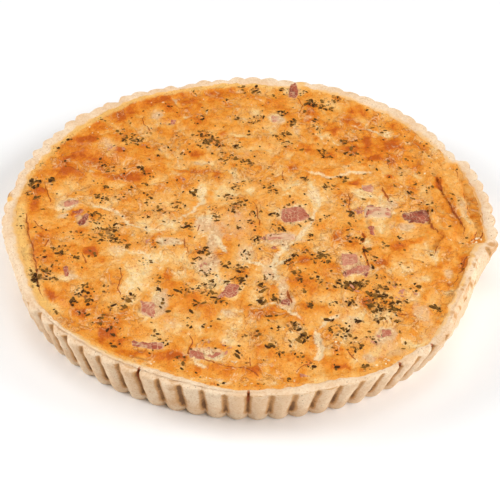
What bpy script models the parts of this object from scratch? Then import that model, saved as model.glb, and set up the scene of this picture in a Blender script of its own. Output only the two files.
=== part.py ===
"""A baked ham quiche: a fluted shortcrust case, its set egg filling, and the diced ham sunk in the top.

Metres, +Z up. The origin is the centre of the underside, +Y runs to the back and +X to the right.
Angles run anticlockwise from +X, seen from above. The quiche stands alone, out of its tin.
"""

import math

import bmesh
import bpy
from mathutils import Vector, geometry, noise

MM = 0.001

# The case, as the tin gave it its shape.
FLUTES = 79
FIRST_GROOVE = math.radians(1.74)
PITCH = math.tau / FLUTES
BASE_CREST_RADIUS = 129.4 * MM
BASE_SHIFT = 1.6 * MM
BASE_SHIFT_WAY = math.radians(202.0)
BASE_LEAN = 1.2 * MM
LARGEST_RADIUS = 142.0 * MM
FLUTE_DEPTH = 3.0 * MM
LOBE_FULLNESS = 0.55
CASE_HEIGHT = 28.4 * MM
LIP_HEIGHT = 26.9 * MM
UNDER_LIP_HEIGHT = 24.6 * MM
FOOT_ROUND = 0.9 * MM
CROWN_RISE = 0.5 * MM
SHOULDER = 1.7 * MM
FLOOR_THICKNESS = 4.6 * MM
FLOOR_RADIUS = 119.0 * MM
UNDERSIDE_RING = 96.0 * MM

# Samples across one flute, as shares of its pitch: one in the groove and three over the lobe.
FLUTE_SAMPLES = (0.0, 0.17, 0.5, 0.83)
INNER_SAMPLES_PER_FLUTE = 2

# The crest line of the rim, which the baking left out of round: angle in degrees, radius in millimetres.
RIM_CREST = (
    (0, 137.3), (11, 138.2), (20, 138.4), (30, 137.0), (40, 139.2), (50, 140.5), (62, 141.0), (92, 141.0),
    (104, 140.4), (113, 139.4), (122, 140.7), (145, 140.8), (156, 140.0), (170, 138.2), (185, 137.8),
    (205, 138.6), (230, 139.6), (270, 140.6), (300, 139.4), (320, 138.4), (350, 137.3),
)

# Where the pale rim ends and the filling begins: angle in degrees, radius in millimetres.
RIM_INNER_EDGE = (
    (2, 130.6), (14, 130.4), (24, 130.4), (40, 130.2), (60, 130.8), (72, 131.6), (79.3, 135.6), (86, 132.0),
    (110, 131.4), (140, 131.0), (165, 130.4), (182, 128.6), (199, 124.6), (212, 129.2), (225, 132.0),
    (245, 130.2), (270, 132.2), (288, 131.4), (304, 134.6), (312, 133.2), (320, 128.6), (333, 123.4),
    (345, 122.0), (350.6, 122.4), (352.2, 129.0),
)

# The dough that folded inwards on the right: it starts at a torn step and fades out at the front.
FOLD_START = math.radians(-8.6)
FOLD_END = math.radians(-46.0)
FOLD_MIDDLE = math.radians(-24.0)
FOLD_LEAN = 8.0 * MM
FOLD_DROP = 5.5 * MM
TORN_STEP = 1.6 * MM
# The softer slump at the front left, where the flutes fade at the lip.
SLUMP_MIDDLE = math.radians(203.0)
SLUMP_REACH = math.radians(17.0)
SLUMP_LEAN = 3.6 * MM

# Cracks through the lip, each in a groove: groove number, depth into the rim, drop of the rim's top.
CRACKS = {52: (1.6, 0.6), 54: (4.2, 2.2), 59: (3.4, 2.4), 66: (4.8, 3.0), 68: (4.2, 2.6)}

# The filling.
GAP = 0.4 * MM
FILLING_EDGE_HEIGHT = 26.5 * MM
RIM_FOOT_STEP = 0.5 * MM
FILLING_DOME = 0.8 * MM
FILLING_GRID = 7.8 * MM
CREASE_STEP = 5.6 * MM
CREASE_CLEARANCE = 4.0 * MM
CREASE_SPACING = 1.8 * MM
EDGE_CLEARANCE = 4.0 * MM
WAVES = ((0.035, 0.021, 0.6, 0.45), (-0.024, 0.047, 2.1, 0.40), (0.061, -0.038, 4.0, 0.28))

# Swells of the baked top in millimetres: x, y, half length, half width, turn in degrees, lift.
SWELLS = (
    (110, 24, 40, 11, 97, 1.7), (101, -20, 17, 9, 72, 1.2), (96, 64, 21, 13, 125, 1.0), (126, 12, 30, 3.4, 95, -2.0),
    (16, -104, 20, 14, 15, 1.3), (-6, -121, 27, 6, -4, 0.9), (-44, -113, 20, 5, -20, 1.0), (40, -109, 9, 12, 0, 0.6),
    (-110, -12, 13, 12, 20, 1.2), (-113, -36, 14, 7, 110, 1.0), (-98, 66, 22, 12, 50, 0.9), (-40, 108, 30, 10, 12, 0.8),
    (-88, -52, 17, 13, 30, -0.9), (-30, -48, 26, 16, 70, -0.8), (48, -60, 28, 20, 20, -0.5), (12, 62, 40, 16, 5, 0.5),
    (-50, 40, 30, 12, 10, 0.6), (70, 24, 14, 12, 0, -0.8), (78, -30, 22, 12, -10, 0.7), (-64, -66, 14, 10, 30, -0.8),
    (36, 98, 22, 12, -8, -0.5), (-124, 12, 8, 12, 0, 0.8), (8, 10, 24, 20, 40, 0.4),
)

# Folds and breaks that show as steps or grooves: half width and depth in millimetres, then the route.
CREASES = (
    (1.6, -2.0, ((106, 44), (109, 33), (111, 20), (114, 9), (117, -6), (121, -19))),
    (1.5, -1.6, ((100, 9), (100.5, -8), (105.5, -17), (101, -30))),
    (1.8, -1.5, ((96, 77), (104, 66), (110, 54))),
    (2.2, -1.3, ((33, -91), (35, -101), (36, -113))),
    (1.6, -1.0, ((3, -81), (14, -74), (26, -84), (33, -91), (45, -80))),
    (1.4, -1.5, ((-30, -114), (-12, -119), (1, -121), (7, -127))),
    (1.4, -1.3, ((-123, -11), (-117, -32), (-110, -51))),
    (2.0, -1.0, ((61, 42), (44, 37.5), (29, 41), (35, 24), (36, 4), (28, -19), (13, -42), (17, -62))),
    (1.8, -0.9, ((-88, 3), (-72, -8), (-52, -17), (-30, 2), (-27, 21))),
)

# The ham, in millimetres: x, y, length, width, turn in degrees, tip in degrees, height above the filling.
HAM_THICKNESS = 4.4 * MM
HAM = (
    (24, -2, 17, 11, 8, 3, 0.7), (14.5, -21.8, 16, 4.4, -2, 0, 0.5), (52.4, -36.8, 12, 10, 4, -3, 0.7),
    (58, -47.4, 14.6, 5, -6, 8, 0.5), (92, 1, 15.5, 10, 9, 4, 0.9), (67, 27, 7.5, 7, 20, 0, 0.5),
    (69.5, 4.6, 16, 8, 4, 6, 0.7), (66, -14, 5, 9.5, -8, 5, 0.6), (-9, -65, 16, 8, 33, 3, 0.6),
    (-50.6, -79.5, 8.6, 9.6, -14, 6, 0.8), (-48, -105.6, 15, 5.2, -3, 10, 1.0), (-25.4, -111, 7, 6, 10, 4, 0.5),
    (-14.4, -109.4, 8.5, 3.2, 18, 0, 0.4), (-102, 3.6, 10, 6, 8, 5, 0.6), (-93, -12, 14, 4, 57, 6, 0.8),
    (24.6, 124.6, 5.4, 11.6, -4, 9, 1.4), (13.6, 95, 7.5, 9, 5, 0, 0.4), (19.6, -73, 4.6, 4, 20, 0, 0.3),
    (69, -93, 5, 4.6, 15, 0, 0.4), (-50, 87, 5, 5.4, 30, 0, 0.3), (-94.8, -56, 3.6, 8, 4, 0, 0.3),
)
HAM_BIG = 9.0 * MM
HAM_UNEVENNESS = 0.7 * MM
HAM_EDGE_ROUND = 0.8 * MM
HAM_UNEVEN_SHARE = 0.3
CORNER_CUT = 0.3
HAM_INSET_SHARE = 0.75
POCKET_FOOT_ROOM = 0.45 * MM
POCKET_MOUTH_ROOM = 0.95 * MM
POCKET_CLEARANCE = 2.2 * MM

PASTRY = ("pastry", (0.80, 0.62, 0.42, 1.0), 0.78)
CUSTARD = ("custard", (0.86, 0.50, 0.15, 1.0), 0.55)
HAM_FLESH = ("ham", (0.55, 0.22, 0.19, 1.0), 0.45)


def clear_scene():
    for obj in list(bpy.data.objects):
        bpy.data.objects.remove(obj, do_unlink=True)


def material(name, colour, roughness):
    found = bpy.data.materials.new(name)
    found.use_nodes = True
    shader = found.node_tree.nodes["Principled BSDF"]
    shader.inputs["Base Color"].default_value = colour
    shader.inputs["Roughness"].default_value = roughness
    shader.inputs["Metallic"].default_value = 0.0
    found.diffuse_color = colour
    return found


def object_of(name, bm, finish):
    mesh = bpy.data.meshes.new(name)
    bmesh.ops.recalc_face_normals(bm, faces=bm.faces)
    if bm.calc_volume(signed=True) < 0:
        bmesh.ops.reverse_faces(bm, faces=bm.faces)
    bm.to_mesh(mesh)
    bm.free()
    mesh.materials.append(finish)
    obj = bpy.data.objects.new(name, mesh)
    bpy.context.scene.collection.objects.link(obj)
    mesh.shade_smooth()
    mesh.set_sharp_from_angle(angle=math.radians(50))
    return obj


def smooth(share):
    """0 to 1 with a soft start and end."""
    share = min(max(share, 0.0), 1.0)
    return share * share * (3 - 2 * share)


def turned(angle, middle):
    """The signed way round from middle to angle, between -pi and pi."""
    return (angle - middle + math.pi) % math.tau - math.pi


# ---- the outline of the case ----


def lobe(angle):
    """0 in a groove and 1 on the crest of a flute, with broad crests and narrow grooves."""
    share = ((angle - FIRST_GROOVE) / PITCH) % 1.0
    return abs(math.sin(math.pi * share)) ** LOBE_FULLNESS


def fold(angle):
    """How far the folded dough leans in at this angle: 0 outside the fold and 1 at its middle."""
    way = turned(angle, FOLD_MIDDLE)
    reach = FOLD_START - FOLD_MIDDLE if way > 0 else FOLD_MIDDLE - FOLD_END
    return smooth(1.45 * (1 - abs(way) / reach))


def slump(angle):
    return smooth(1 - abs(turned(angle, SLUMP_MIDDLE)) / SLUMP_REACH)


def unevenness(angle):
    """Small rises and falls of a hand-lined case."""
    return (0.35 * math.sin(2 * angle + 0.7) + 0.3 * math.sin(5 * angle + 2.0) + 0.2 * math.sin(11 * angle)) * MM


def radius_between(places, angle):
    """The radius at an angle, eased between the named places."""
    degrees = math.degrees(angle) % 360
    after = next((i for i, (at, _) in enumerate(places) if at > degrees), 0)
    start, low = places[after - 1]
    end, high = places[after]
    share = ((degrees - start) % 360) / ((end - start) % 360)
    return (low + (high - low) * smooth(share)) * MM


def outer_radius(angle):
    """The crest line of the rim."""
    return radius_between(RIM_CREST, angle) - FOLD_LEAN * fold(angle) - SLUMP_LEAN * slump(angle)


def base_radius(angle):
    """The crest line of the foot, which sits a little off the rim's centre."""
    shift = BASE_SHIFT * math.cos(angle - BASE_SHIFT_WAY)
    return BASE_CREST_RADIUS + shift + 0.6 * unevenness(angle) - BASE_LEAN * fold(angle)


def inner_radius(angle):
    """The line where rim and filling meet."""
    return radius_between(RIM_INNER_EDGE, angle)


def crack_at(index, share):
    """(depth into the rim, drop of its top) in metres for a sample in a cracked groove."""
    depth, drop = CRACKS.get(index, (0, 0)) if share == 0 else (0, 0)
    return depth * MM, drop * MM


def rim_top(angle):
    """Height of the rim's shoulder, just inside its outer edge."""
    return CASE_HEIGHT - CROWN_RISE + 0.4 * unevenness(angle)


def outer_rings():
    """The case's outer rings from the underside to the rim's shoulder: one list of points for each."""
    rings = [[] for _ in range(5)]
    for index in range(FLUTES):
        for share in FLUTE_SAMPLES:
            angle = FIRST_GROOVE + (index + share) * PITCH
            faded = 1 - 0.85 * fold(angle) - 0.5 * slump(angle)
            hollow = FLUTE_DEPTH * (1 - lobe(angle)) * faded
            base_hollow = FLUTE_DEPTH * (1 - lobe(angle)) * (1 - 0.5 * fold(angle))
            depth, drop = crack_at(index, share)
            rim, top = outer_radius(angle), rim_top(angle)
            base = base_radius(angle)
            under = base + (rim - base) * UNDER_LIP_HEIGHT / LIP_HEIGHT
            sag = FOLD_DROP * fold(angle)
            for ring, radius, height in (
                (0, base - FOOT_ROUND - 0.7 * base_hollow, 0.0),
                (1, base - base_hollow, FOOT_ROUND),
                (2, under - hollow - 0.5 * depth, UNDER_LIP_HEIGHT - 0.8 * sag),
                (3, rim - 0.62 * hollow - depth, LIP_HEIGHT - 0.75 * sag - 0.4 * drop),
                (4, rim - SHOULDER - 0.45 * hollow - 0.6 * depth, top - 0.5 * sag - drop),
            ):
                rings[ring].append(Vector((radius * math.cos(angle), radius * math.sin(angle), height)))
    return rings


def inner_angles():
    step = PITCH / INNER_SAMPLES_PER_FLUTE
    return [FIRST_GROOVE + i * step for i in range(FLUTES * INNER_SAMPLES_PER_FLUTE)]


def ring_points(radius_of, height_of, angles):
    return [
        Vector((radius_of(a) * math.cos(a), radius_of(a) * math.sin(a), height_of(a))) for a in angles
    ]


def crown_radius(angle):
    return inner_radius(angle) + 0.42 * (outer_radius(angle) - inner_radius(angle))


def crown_height(angle):
    return rim_top(angle) + CROWN_RISE


def rim_foot_height(angle):
    """Where the rim's inner face meets the filling. The folded dough stands proud of it."""
    return FILLING_EDGE_HEIGHT + RIM_FOOT_STEP + TORN_STEP * fold(angle)


def filling_radius(angle):
    """The filling's edge, just clear of the case's inner face, which slopes from rim to floor."""
    rise = (FILLING_EDGE_HEIGHT - FLOOR_THICKNESS) / (rim_foot_height(angle) - FLOOR_THICKNESS)
    return FLOOR_RADIUS + (inner_radius(angle) - FLOOR_RADIUS) * rise - 1.3 * GAP


# ---- joining rings ----


def add_ring(bm, points):
    return [bm.verts.new(point) for point in points]


def bridge(bm, first, second):
    """Faces between two closed rings, whose counts may be in the ratio 1, 2 or 4."""
    ratio = len(first) // len(second)
    for i, vert in enumerate(second):
        after = second[(i + 1) % len(second)]
        run = [first[(i * ratio + j) % len(first)] for j in range(ratio + 1)]
        half = (ratio + 1) // 2
        for j in range(half):
            if j < half - 1 or ratio > 1:
                bm.faces.new((run[j], run[j + 1], vert))
        if ratio == 1:
            bm.faces.new((run[0], run[1], after, vert))
            continue
        bm.faces.new((run[half], after, vert))
        for j in range(half, ratio):
            bm.faces.new((run[j], run[j + 1], after))


def close_with_point(bm, ring, height):
    centre = bm.verts.new((0, 0, height))
    for vert, after in zip(ring, ring[1:] + ring[:1]):
        bm.faces.new((vert, after, centre))


def pastry_case(finish):
    bm = bmesh.new()
    outer = [add_ring(bm, ring) for ring in outer_rings()]
    for lower, upper in zip(outer, outer[1:]):
        bridge(bm, lower, upper)
    angles = inner_angles()
    crown = add_ring(bm, ring_points(crown_radius, crown_height, angles))
    bridge(bm, outer[-1], crown)
    rim_foot = add_ring(bm, ring_points(inner_radius, rim_foot_height, angles))
    bridge(bm, crown, rim_foot)
    coarse = angles[::INNER_SAMPLES_PER_FLUTE]
    floor = add_ring(bm, ring_points(lambda a: FLOOR_RADIUS, lambda a: FLOOR_THICKNESS, coarse))
    bridge(bm, rim_foot, floor)
    close_with_point(bm, floor, FLOOR_THICKNESS)
    underside = add_ring(bm, ring_points(lambda a: UNDERSIDE_RING, lambda a: 0.0, coarse))
    bridge(bm, outer[0], underside)
    close_with_point(bm, underside, 0.0)
    bmesh.ops.triangulate(bm, faces=bm.faces)
    return object_of("pastry_case", bm, finish)


# ---- the filling ----


def swell_at(x, y):
    lift = 0.0
    for centre_x, centre_y, half_length, half_width, turn, height in SWELLS:
        c, s = math.cos(math.radians(turn)), math.sin(math.radians(turn))
        along = ((x - centre_x) * c + (y - centre_y) * s) / half_length
        across = ((y - centre_y) * c - (x - centre_x) * s) / half_width
        lift += height * smooth(1.3 - math.hypot(along, across))
    return lift


def distance_to_route(x, y, route):
    point = Vector((x, y))
    best = math.inf
    for start, end in zip(route, route[1:]):
        start, end = Vector(start), Vector(end)
        share = min(max((point - start).dot(end - start) / (end - start).length_squared, 0), 1)
        best = min(best, (point - start.lerp(end, share)).length)
    return best


def crease_at(x, y):
    return min(
        (depth * smooth(1 - distance_to_route(x, y, route) / (2 * half)) for half, depth, route in CREASES),
        default=0.0,
    )


def filling_height(x, y):
    """Height of the filling's top in metres at a place in metres."""
    x, y = x / MM, y / MM
    edge = filling_radius(math.atan2(y, x)) / MM
    share = min(math.hypot(x, y) / edge, 1.0)
    waves = sum(lift * math.sin(a * x + b * y + c) for a, b, c, lift in WAVES)
    inside = smooth((1 - share) * 9)
    return FILLING_EDGE_HEIGHT + FILLING_DOME * (1 - share**2) + MM * inside * (
        waves + swell_at(x, y) + crease_at(x, y)
    )


def crease_points():
    """Places along each crease: its bottom line, and a line on either side."""
    points = []
    for half, _, route in CREASES:
        for start, end in zip(route, route[1:]):
            start, end = Vector(start) * MM, Vector(end) * MM
            steps = max(1, round((end - start).length / CREASE_STEP))
            side = (end - start).orthogonal().normalized() * half * 2 * MM
            for i in range(steps):
                middle = start.lerp(end, (i + 0.5) / steps)
                points += [middle, middle + side, middle - side]
    return points


def far_from(point, others, clearance):
    return all((point - other).length > clearance for other in others)


def free_place(point, dice):
    """Whether a place is inside the filling's edge and clear of every pocket."""
    inside = point.length < filling_radius(math.atan2(point.y, point.x)) - EDGE_CLEARANCE
    return inside and not any(piece.reaches(point, POCKET_CLEARANCE) for piece in dice)


def top_points(dice):
    """Places inside the filling's edge: the creases, then a staggered grid where there is room."""
    creases = []
    for point in crease_points():
        if free_place(point, dice) and far_from(point, creases, CREASE_SPACING):
            creases.append(point)
    grid = []
    rows = int(LARGEST_RADIUS / FILLING_GRID) + 2
    for row in range(-rows, rows + 1):
        for column in range(-rows, rows + 1):
            point = Vector(((column + 0.5 * (row % 2)) * FILLING_GRID, row * FILLING_GRID * math.sqrt(0.75)))
            if free_place(point, dice) and far_from(point, creases, CREASE_CLEARANCE):
                grid.append(point)
    return creases + grid


def filling(dice, finish):
    """The set filling: its baked top with a pocket for each piece of ham, its side and its underside."""
    angles = inner_angles()
    edge = [point.to_2d() for point in ring_points(filling_radius, lambda a: 0, angles)]
    places = edge + top_points(dice)
    heights = [filling_height(point.x, point.y) for point in places]
    outlines = []
    for piece in dice:
        mouth, foot = piece.grown(POCKET_MOUTH_ROOM), piece.grown(POCKET_FOOT_ROOM)
        for ring in (mouth, foot):
            outlines += [
                (len(places) + i, len(places) + (i + 1) % len(ring)) for i in range(len(ring))
            ]
            places += [piece.placed(point) for point in ring]
        heights += [filling_height(*piece.placed(point)) for point in mouth]
        heights += [piece.floor_height(point) for point in foot]
    rim = list(range(len(edge)))
    flat, _, faces, sources, _, _ = geometry.delaunay_2d_cdt(places, outlines, [rim], 1, 1e-7)
    bm = bmesh.new()
    top = [bm.verts.new((p.x, p.y, heights[source[0]])) for p, source in zip(flat, sources)]
    for face in faces:
        bm.faces.new([top[i] for i in face])
    coarse = angles[::INNER_SAMPLES_PER_FLUTE]
    foot = add_ring(bm, ring_points(lambda a: FLOOR_RADIUS - 1.3 * GAP, lambda a: FLOOR_THICKNESS + GAP, coarse))
    bridge(bm, top[: len(edge)], foot)
    close_with_point(bm, foot, FLOOR_THICKNESS + GAP)
    return object_of("custard_filling", bm, finish)


# ---- the ham ----


class Dice:
    """One hand-cut piece of ham, and the pocket that it sits in."""

    def __init__(self, number, x, y, length, width, turn, tip, proud):
        self.number = number
        self.place = Vector((x, y)) * MM
        self.half = Vector((length, width)) * MM / 2
        self.turn = math.radians(turn)
        self.slope = math.tan(math.radians(tip))
        self.top = filling_height(*self.place) + proud * MM
        self.outline = self.cut_outline()

    def corner_cut(self):
        return CORNER_CUT * min(self.half)

    def cut_outline(self):
        """Corners cut off and long sides split, with the knife's unevenness, in the piece's own frame."""
        long, wide = self.half
        cut = self.corner_cut()
        quarter = [(long, 0), (long, wide - cut), (long - cut, wide), (0, wide)]
        if wide * 2 < HAM_BIG:
            quarter = quarter[1:]
        if long * 2 < HAM_BIG:
            quarter = quarter[:-1]
        corners = list(quarter)
        corners += [(-x, y) for x, y in reversed(quarter) if x > 0]
        corners += [(-x, -y) for x, y in quarter if y > 0]
        corners += [(x, -y) for x, y in reversed(quarter) if x > 0 and y > 0]
        points = []
        reach = min(HAM_UNEVENNESS, HAM_UNEVEN_SHARE * min(self.half))
        for x, y in corners:
            spot = Vector((x / MM * 0.3 + self.number * 7.3, y / MM * 0.3, 0.5))
            wave = Vector((noise.noise(spot), noise.noise(spot + Vector((0, 0, 9)))))
            points.append(Vector((x, y)) + wave * reach)
        return points

    def grown(self, room):
        """The outline moved outwards, or inwards where room is negative."""
        count = len(self.outline)
        moved = []
        for i, point in enumerate(self.outline):
            along = (self.outline[(i + 1) % count] - self.outline[i - 1]).normalized()
            moved.append(point + Vector((along.y, -along.x)) * room)
        return moved

    def placed(self, point):
        """A point of the piece's own frame, seen from above in the quiche's."""
        c, s = math.cos(self.turn), math.sin(self.turn)
        return self.place + Vector((point.x * c - point.y * s, point.x * s + point.y * c))

    def reaches(self, point, clearance):
        """Whether a place lies over the piece or within clearance of it."""
        c, s = math.cos(self.turn), math.sin(self.turn)
        offset = point - self.place
        own = (offset.x * c + offset.y * s, offset.y * c - offset.x * s)
        return all(abs(at) < half + clearance for at, half in zip(own, self.half))

    def floor_height(self, point):
        return self.top - HAM_THICKNESS - POCKET_FOOT_ROOM + self.slope * point.y

    def model(self, finish):
        inset = -min(HAM_EDGE_ROUND, HAM_INSET_SHARE * self.corner_cut())
        bm = bmesh.new()
        rings = []
        for room, height in (
            (inset, -HAM_THICKNESS),
            (0, HAM_EDGE_ROUND - HAM_THICKNESS),
            (0, -HAM_EDGE_ROUND),
            (inset, 0),
        ):
            points = self.grown(room)
            rings.append(add_ring(bm, [Vector((p.x, p.y, height + self.slope * p.y)) for p in points]))
        for lower, upper in zip(rings, rings[1:]):
            bridge(bm, lower, upper)
        for ring in (rings[0], rings[-1]):
            bm.faces.new(ring)
        bmesh.ops.triangulate(bm, faces=bm.faces)
        piece = object_of(f"ham_{self.number:02d}", bm, finish)
        piece.location = (*self.place, self.top)
        piece.rotation_euler.z = self.turn
        return piece


def main():
    clear_scene()
    pastry_case(material(*PASTRY))
    dice = [Dice(number, *row) for number, row in enumerate(HAM, start=1)]
    filling(dice, material(*CUSTARD))
    flesh = material(*HAM_FLESH)
    for piece in dice:
        piece.model(flesh)


main()
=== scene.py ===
"""Looks of a whole baked quiche: a fluted shortcrust case, browned egg filling, diced ham and dried herbs.

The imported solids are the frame. Here each of them is replaced by a finer mesh of the same form and size,
with the flakes, cracks, veins and crumbs of the baked thing. Sizes are in millimetres unless a name says
otherwise, and meshes are made in metres. +Z is up, +Y runs to the back and +X to the right. Angles run
anticlockwise from +X, seen from above.
"""

from __future__ import annotations

import logging
import math
from dataclasses import dataclass, field
from enum import Enum
from typing import Callable, Iterable, Sequence

import bpy
import numpy as np
from mathutils import Matrix, Vector

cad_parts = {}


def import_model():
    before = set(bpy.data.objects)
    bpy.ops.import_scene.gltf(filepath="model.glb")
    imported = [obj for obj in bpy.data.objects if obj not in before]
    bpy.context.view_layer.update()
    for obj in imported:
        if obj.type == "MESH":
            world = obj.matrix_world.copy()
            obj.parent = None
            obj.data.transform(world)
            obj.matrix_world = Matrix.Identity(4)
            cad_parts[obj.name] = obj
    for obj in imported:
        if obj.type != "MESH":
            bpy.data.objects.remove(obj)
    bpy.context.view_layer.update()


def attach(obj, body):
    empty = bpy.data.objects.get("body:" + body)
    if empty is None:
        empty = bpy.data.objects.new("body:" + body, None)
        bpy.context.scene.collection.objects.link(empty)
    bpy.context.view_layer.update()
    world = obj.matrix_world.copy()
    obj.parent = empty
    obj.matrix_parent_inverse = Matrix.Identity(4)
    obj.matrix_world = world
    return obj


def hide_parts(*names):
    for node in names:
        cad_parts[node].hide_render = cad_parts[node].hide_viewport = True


log = logging.getLogger("quiche")

MM = 0.001
Array = np.ndarray
Colour = tuple[float, float, float]
Point = tuple[float, float]
BODY = "root"
HIGHEST = 28.93


# ---- numbers that vary over a surface ----


def smooth(share: Array | float) -> Array:
    """Return 0 to 1 with a soft start and end."""
    share = np.clip(share, 0.0, 1.0)
    return share * share * (3 - 2 * share)


def wave_noise(x: Array, y: Array, z: Array | float, size: float, seed: int) -> Array:
    """Smooth random swells, the same on each run.

    Args:
        x, y, z: places in millimetres.
        size: length of one swell in millimetres.
        seed: picks one pattern among many.

    Returns:
        A value from -1 to 1 for each place.
    """
    places = np.stack(np.broadcast_arrays(x, y, z), -1).astype(float) / size + 1000.0
    cell = np.floor(places).astype(np.uint64)
    part = places - np.floor(places)
    part = part * part * (3 - 2 * part)
    total = np.zeros(places.shape[:-1])
    for corner in range(8):
        step = np.array([corner & 1, corner >> 1 & 1, corner >> 2], np.uint64)
        at = cell + step
        mixed = at[..., 0] * np.uint64(374761393) + at[..., 1] * np.uint64(668265263)
        mixed = mixed + at[..., 2] * np.uint64(2246822519) + np.uint64(seed * 3266489917)
        mixed = (mixed ^ (mixed >> np.uint64(15))) * np.uint64(2654435761)
        mixed = (mixed ^ (mixed >> np.uint64(13))) & np.uint64(0xFFFFFF)
        share = np.where(step.astype(bool), part, 1 - part).prod(-1)
        total += share * (mixed / float(0xFFFFFF))
    return total * 2 - 1


def rough_noise(x: Array, y: Array, z: Array | float, size: float, seed: int, layers: int = 3) -> Array:
    """Swells with finer swells on them, from about -1 to 1.

    Args:
        x, y, z: places in millimetres.
        size: length of the largest swell in millimetres.
        seed: picks one pattern among many.
        layers: how many times the swells are halved and added.

    Returns:
        A value for each place.
    """
    total, weight, whole = 0.0, 1.0, 0.0
    for layer in range(layers):
        total = total + weight * wave_noise(x, y, z, size / 2**layer, seed + 17 * layer)
        whole += weight
        weight *= 0.6
    return total / whole * 1.5


def flakes(x: Array, y: Array, size: float, seed: int) -> tuple[Array, Array]:
    """Split the surface into uneven flakes.

    Args:
        x, y: places in millimetres.
        size: about how wide a flake is.
        seed: picks one pattern among many.

    Returns:
        A tone from -1 to 1, one for each flake, and the distance to the flake's edge.
    """
    column, row = np.floor(x / size), np.floor(y / size)
    nearest, second = np.full(np.shape(x), 1e9), np.full(np.shape(x), 1e9)
    tone = np.zeros(np.shape(x))
    for across in (-1, 0, 1):
        for along in (-1, 0, 1):
            c, r = column + across, row + along
            jog_x = 0.5 + 0.46 * wave_noise(c * 7.0, r * 7.0, 3.0, 1.0, seed)
            jog_y = 0.5 + 0.46 * wave_noise(c * 7.0, r * 7.0, 9.0, 1.0, seed + 1)
            own = wave_noise(c * 7.0, r * 7.0, 15.0, 1.0, seed + 2)
            gap = np.hypot(x - (c + jog_x) * size, y - (r + jog_y) * size)
            closer = gap < nearest
            second = np.where(closer, nearest, np.minimum(second, gap))
            tone = np.where(closer, own, tone)
            nearest = np.where(closer, gap, nearest)
    return tone, (second - nearest) / 2


def route_distance(x: Array, y: Array, route: Sequence[Point]) -> tuple[Array, Array, Array]:
    """Distance from places to a route of straight stretches.

    Args:
        x, y: places.
        route: the points that the route passes.

    Returns:
        The distance, the side (positive on the left of the way along) and how far along, from 0 to 1.
    """
    best = np.full(np.shape(x), np.inf)
    side = np.zeros(np.shape(x))
    along = np.zeros(np.shape(x))
    stretches = list(zip(route, route[1:]))
    for number, ((ax, ay), (bx, by)) in enumerate(stretches):
        dx, dy = bx - ax, by - ay
        share = np.clip(((x - ax) * dx + (y - ay) * dy) / (dx * dx + dy * dy), 0, 1)
        gap = np.hypot(x - ax - share * dx, y - ay - share * dy)
        nearer = gap < best
        best = np.where(nearer, gap, best)
        side = np.where(nearer, np.sign(dx * (y - ay) - dy * (x - ax)), side)
        along = np.where(nearer, (number + share) / len(stretches), along)
    return best, side, along


def radius_between(places: Sequence[Point], angle: Array) -> Array:
    """The radius at each angle in radians, eased between named (degrees, radius) places."""
    degrees = np.degrees(angle) % 360
    at = np.array([place[0] for place in places], float)
    size = np.array([place[1] for place in places], float)
    after = np.searchsorted(at, degrees, side="right") % len(at)
    start, end = at[after - 1], at[after]
    share = ((degrees - start) % 360) / ((end - start) % 360)
    return size[after - 1] + (size[after] - size[after - 1]) * smooth(share)


def turned(angle: Array, middle: float) -> Array:
    """The signed way round from middle to each angle, between -pi and pi."""
    return (angle - middle + math.pi) % math.tau - math.pi


# ---- the form that the tin, the oven and the filling gave ----


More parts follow.
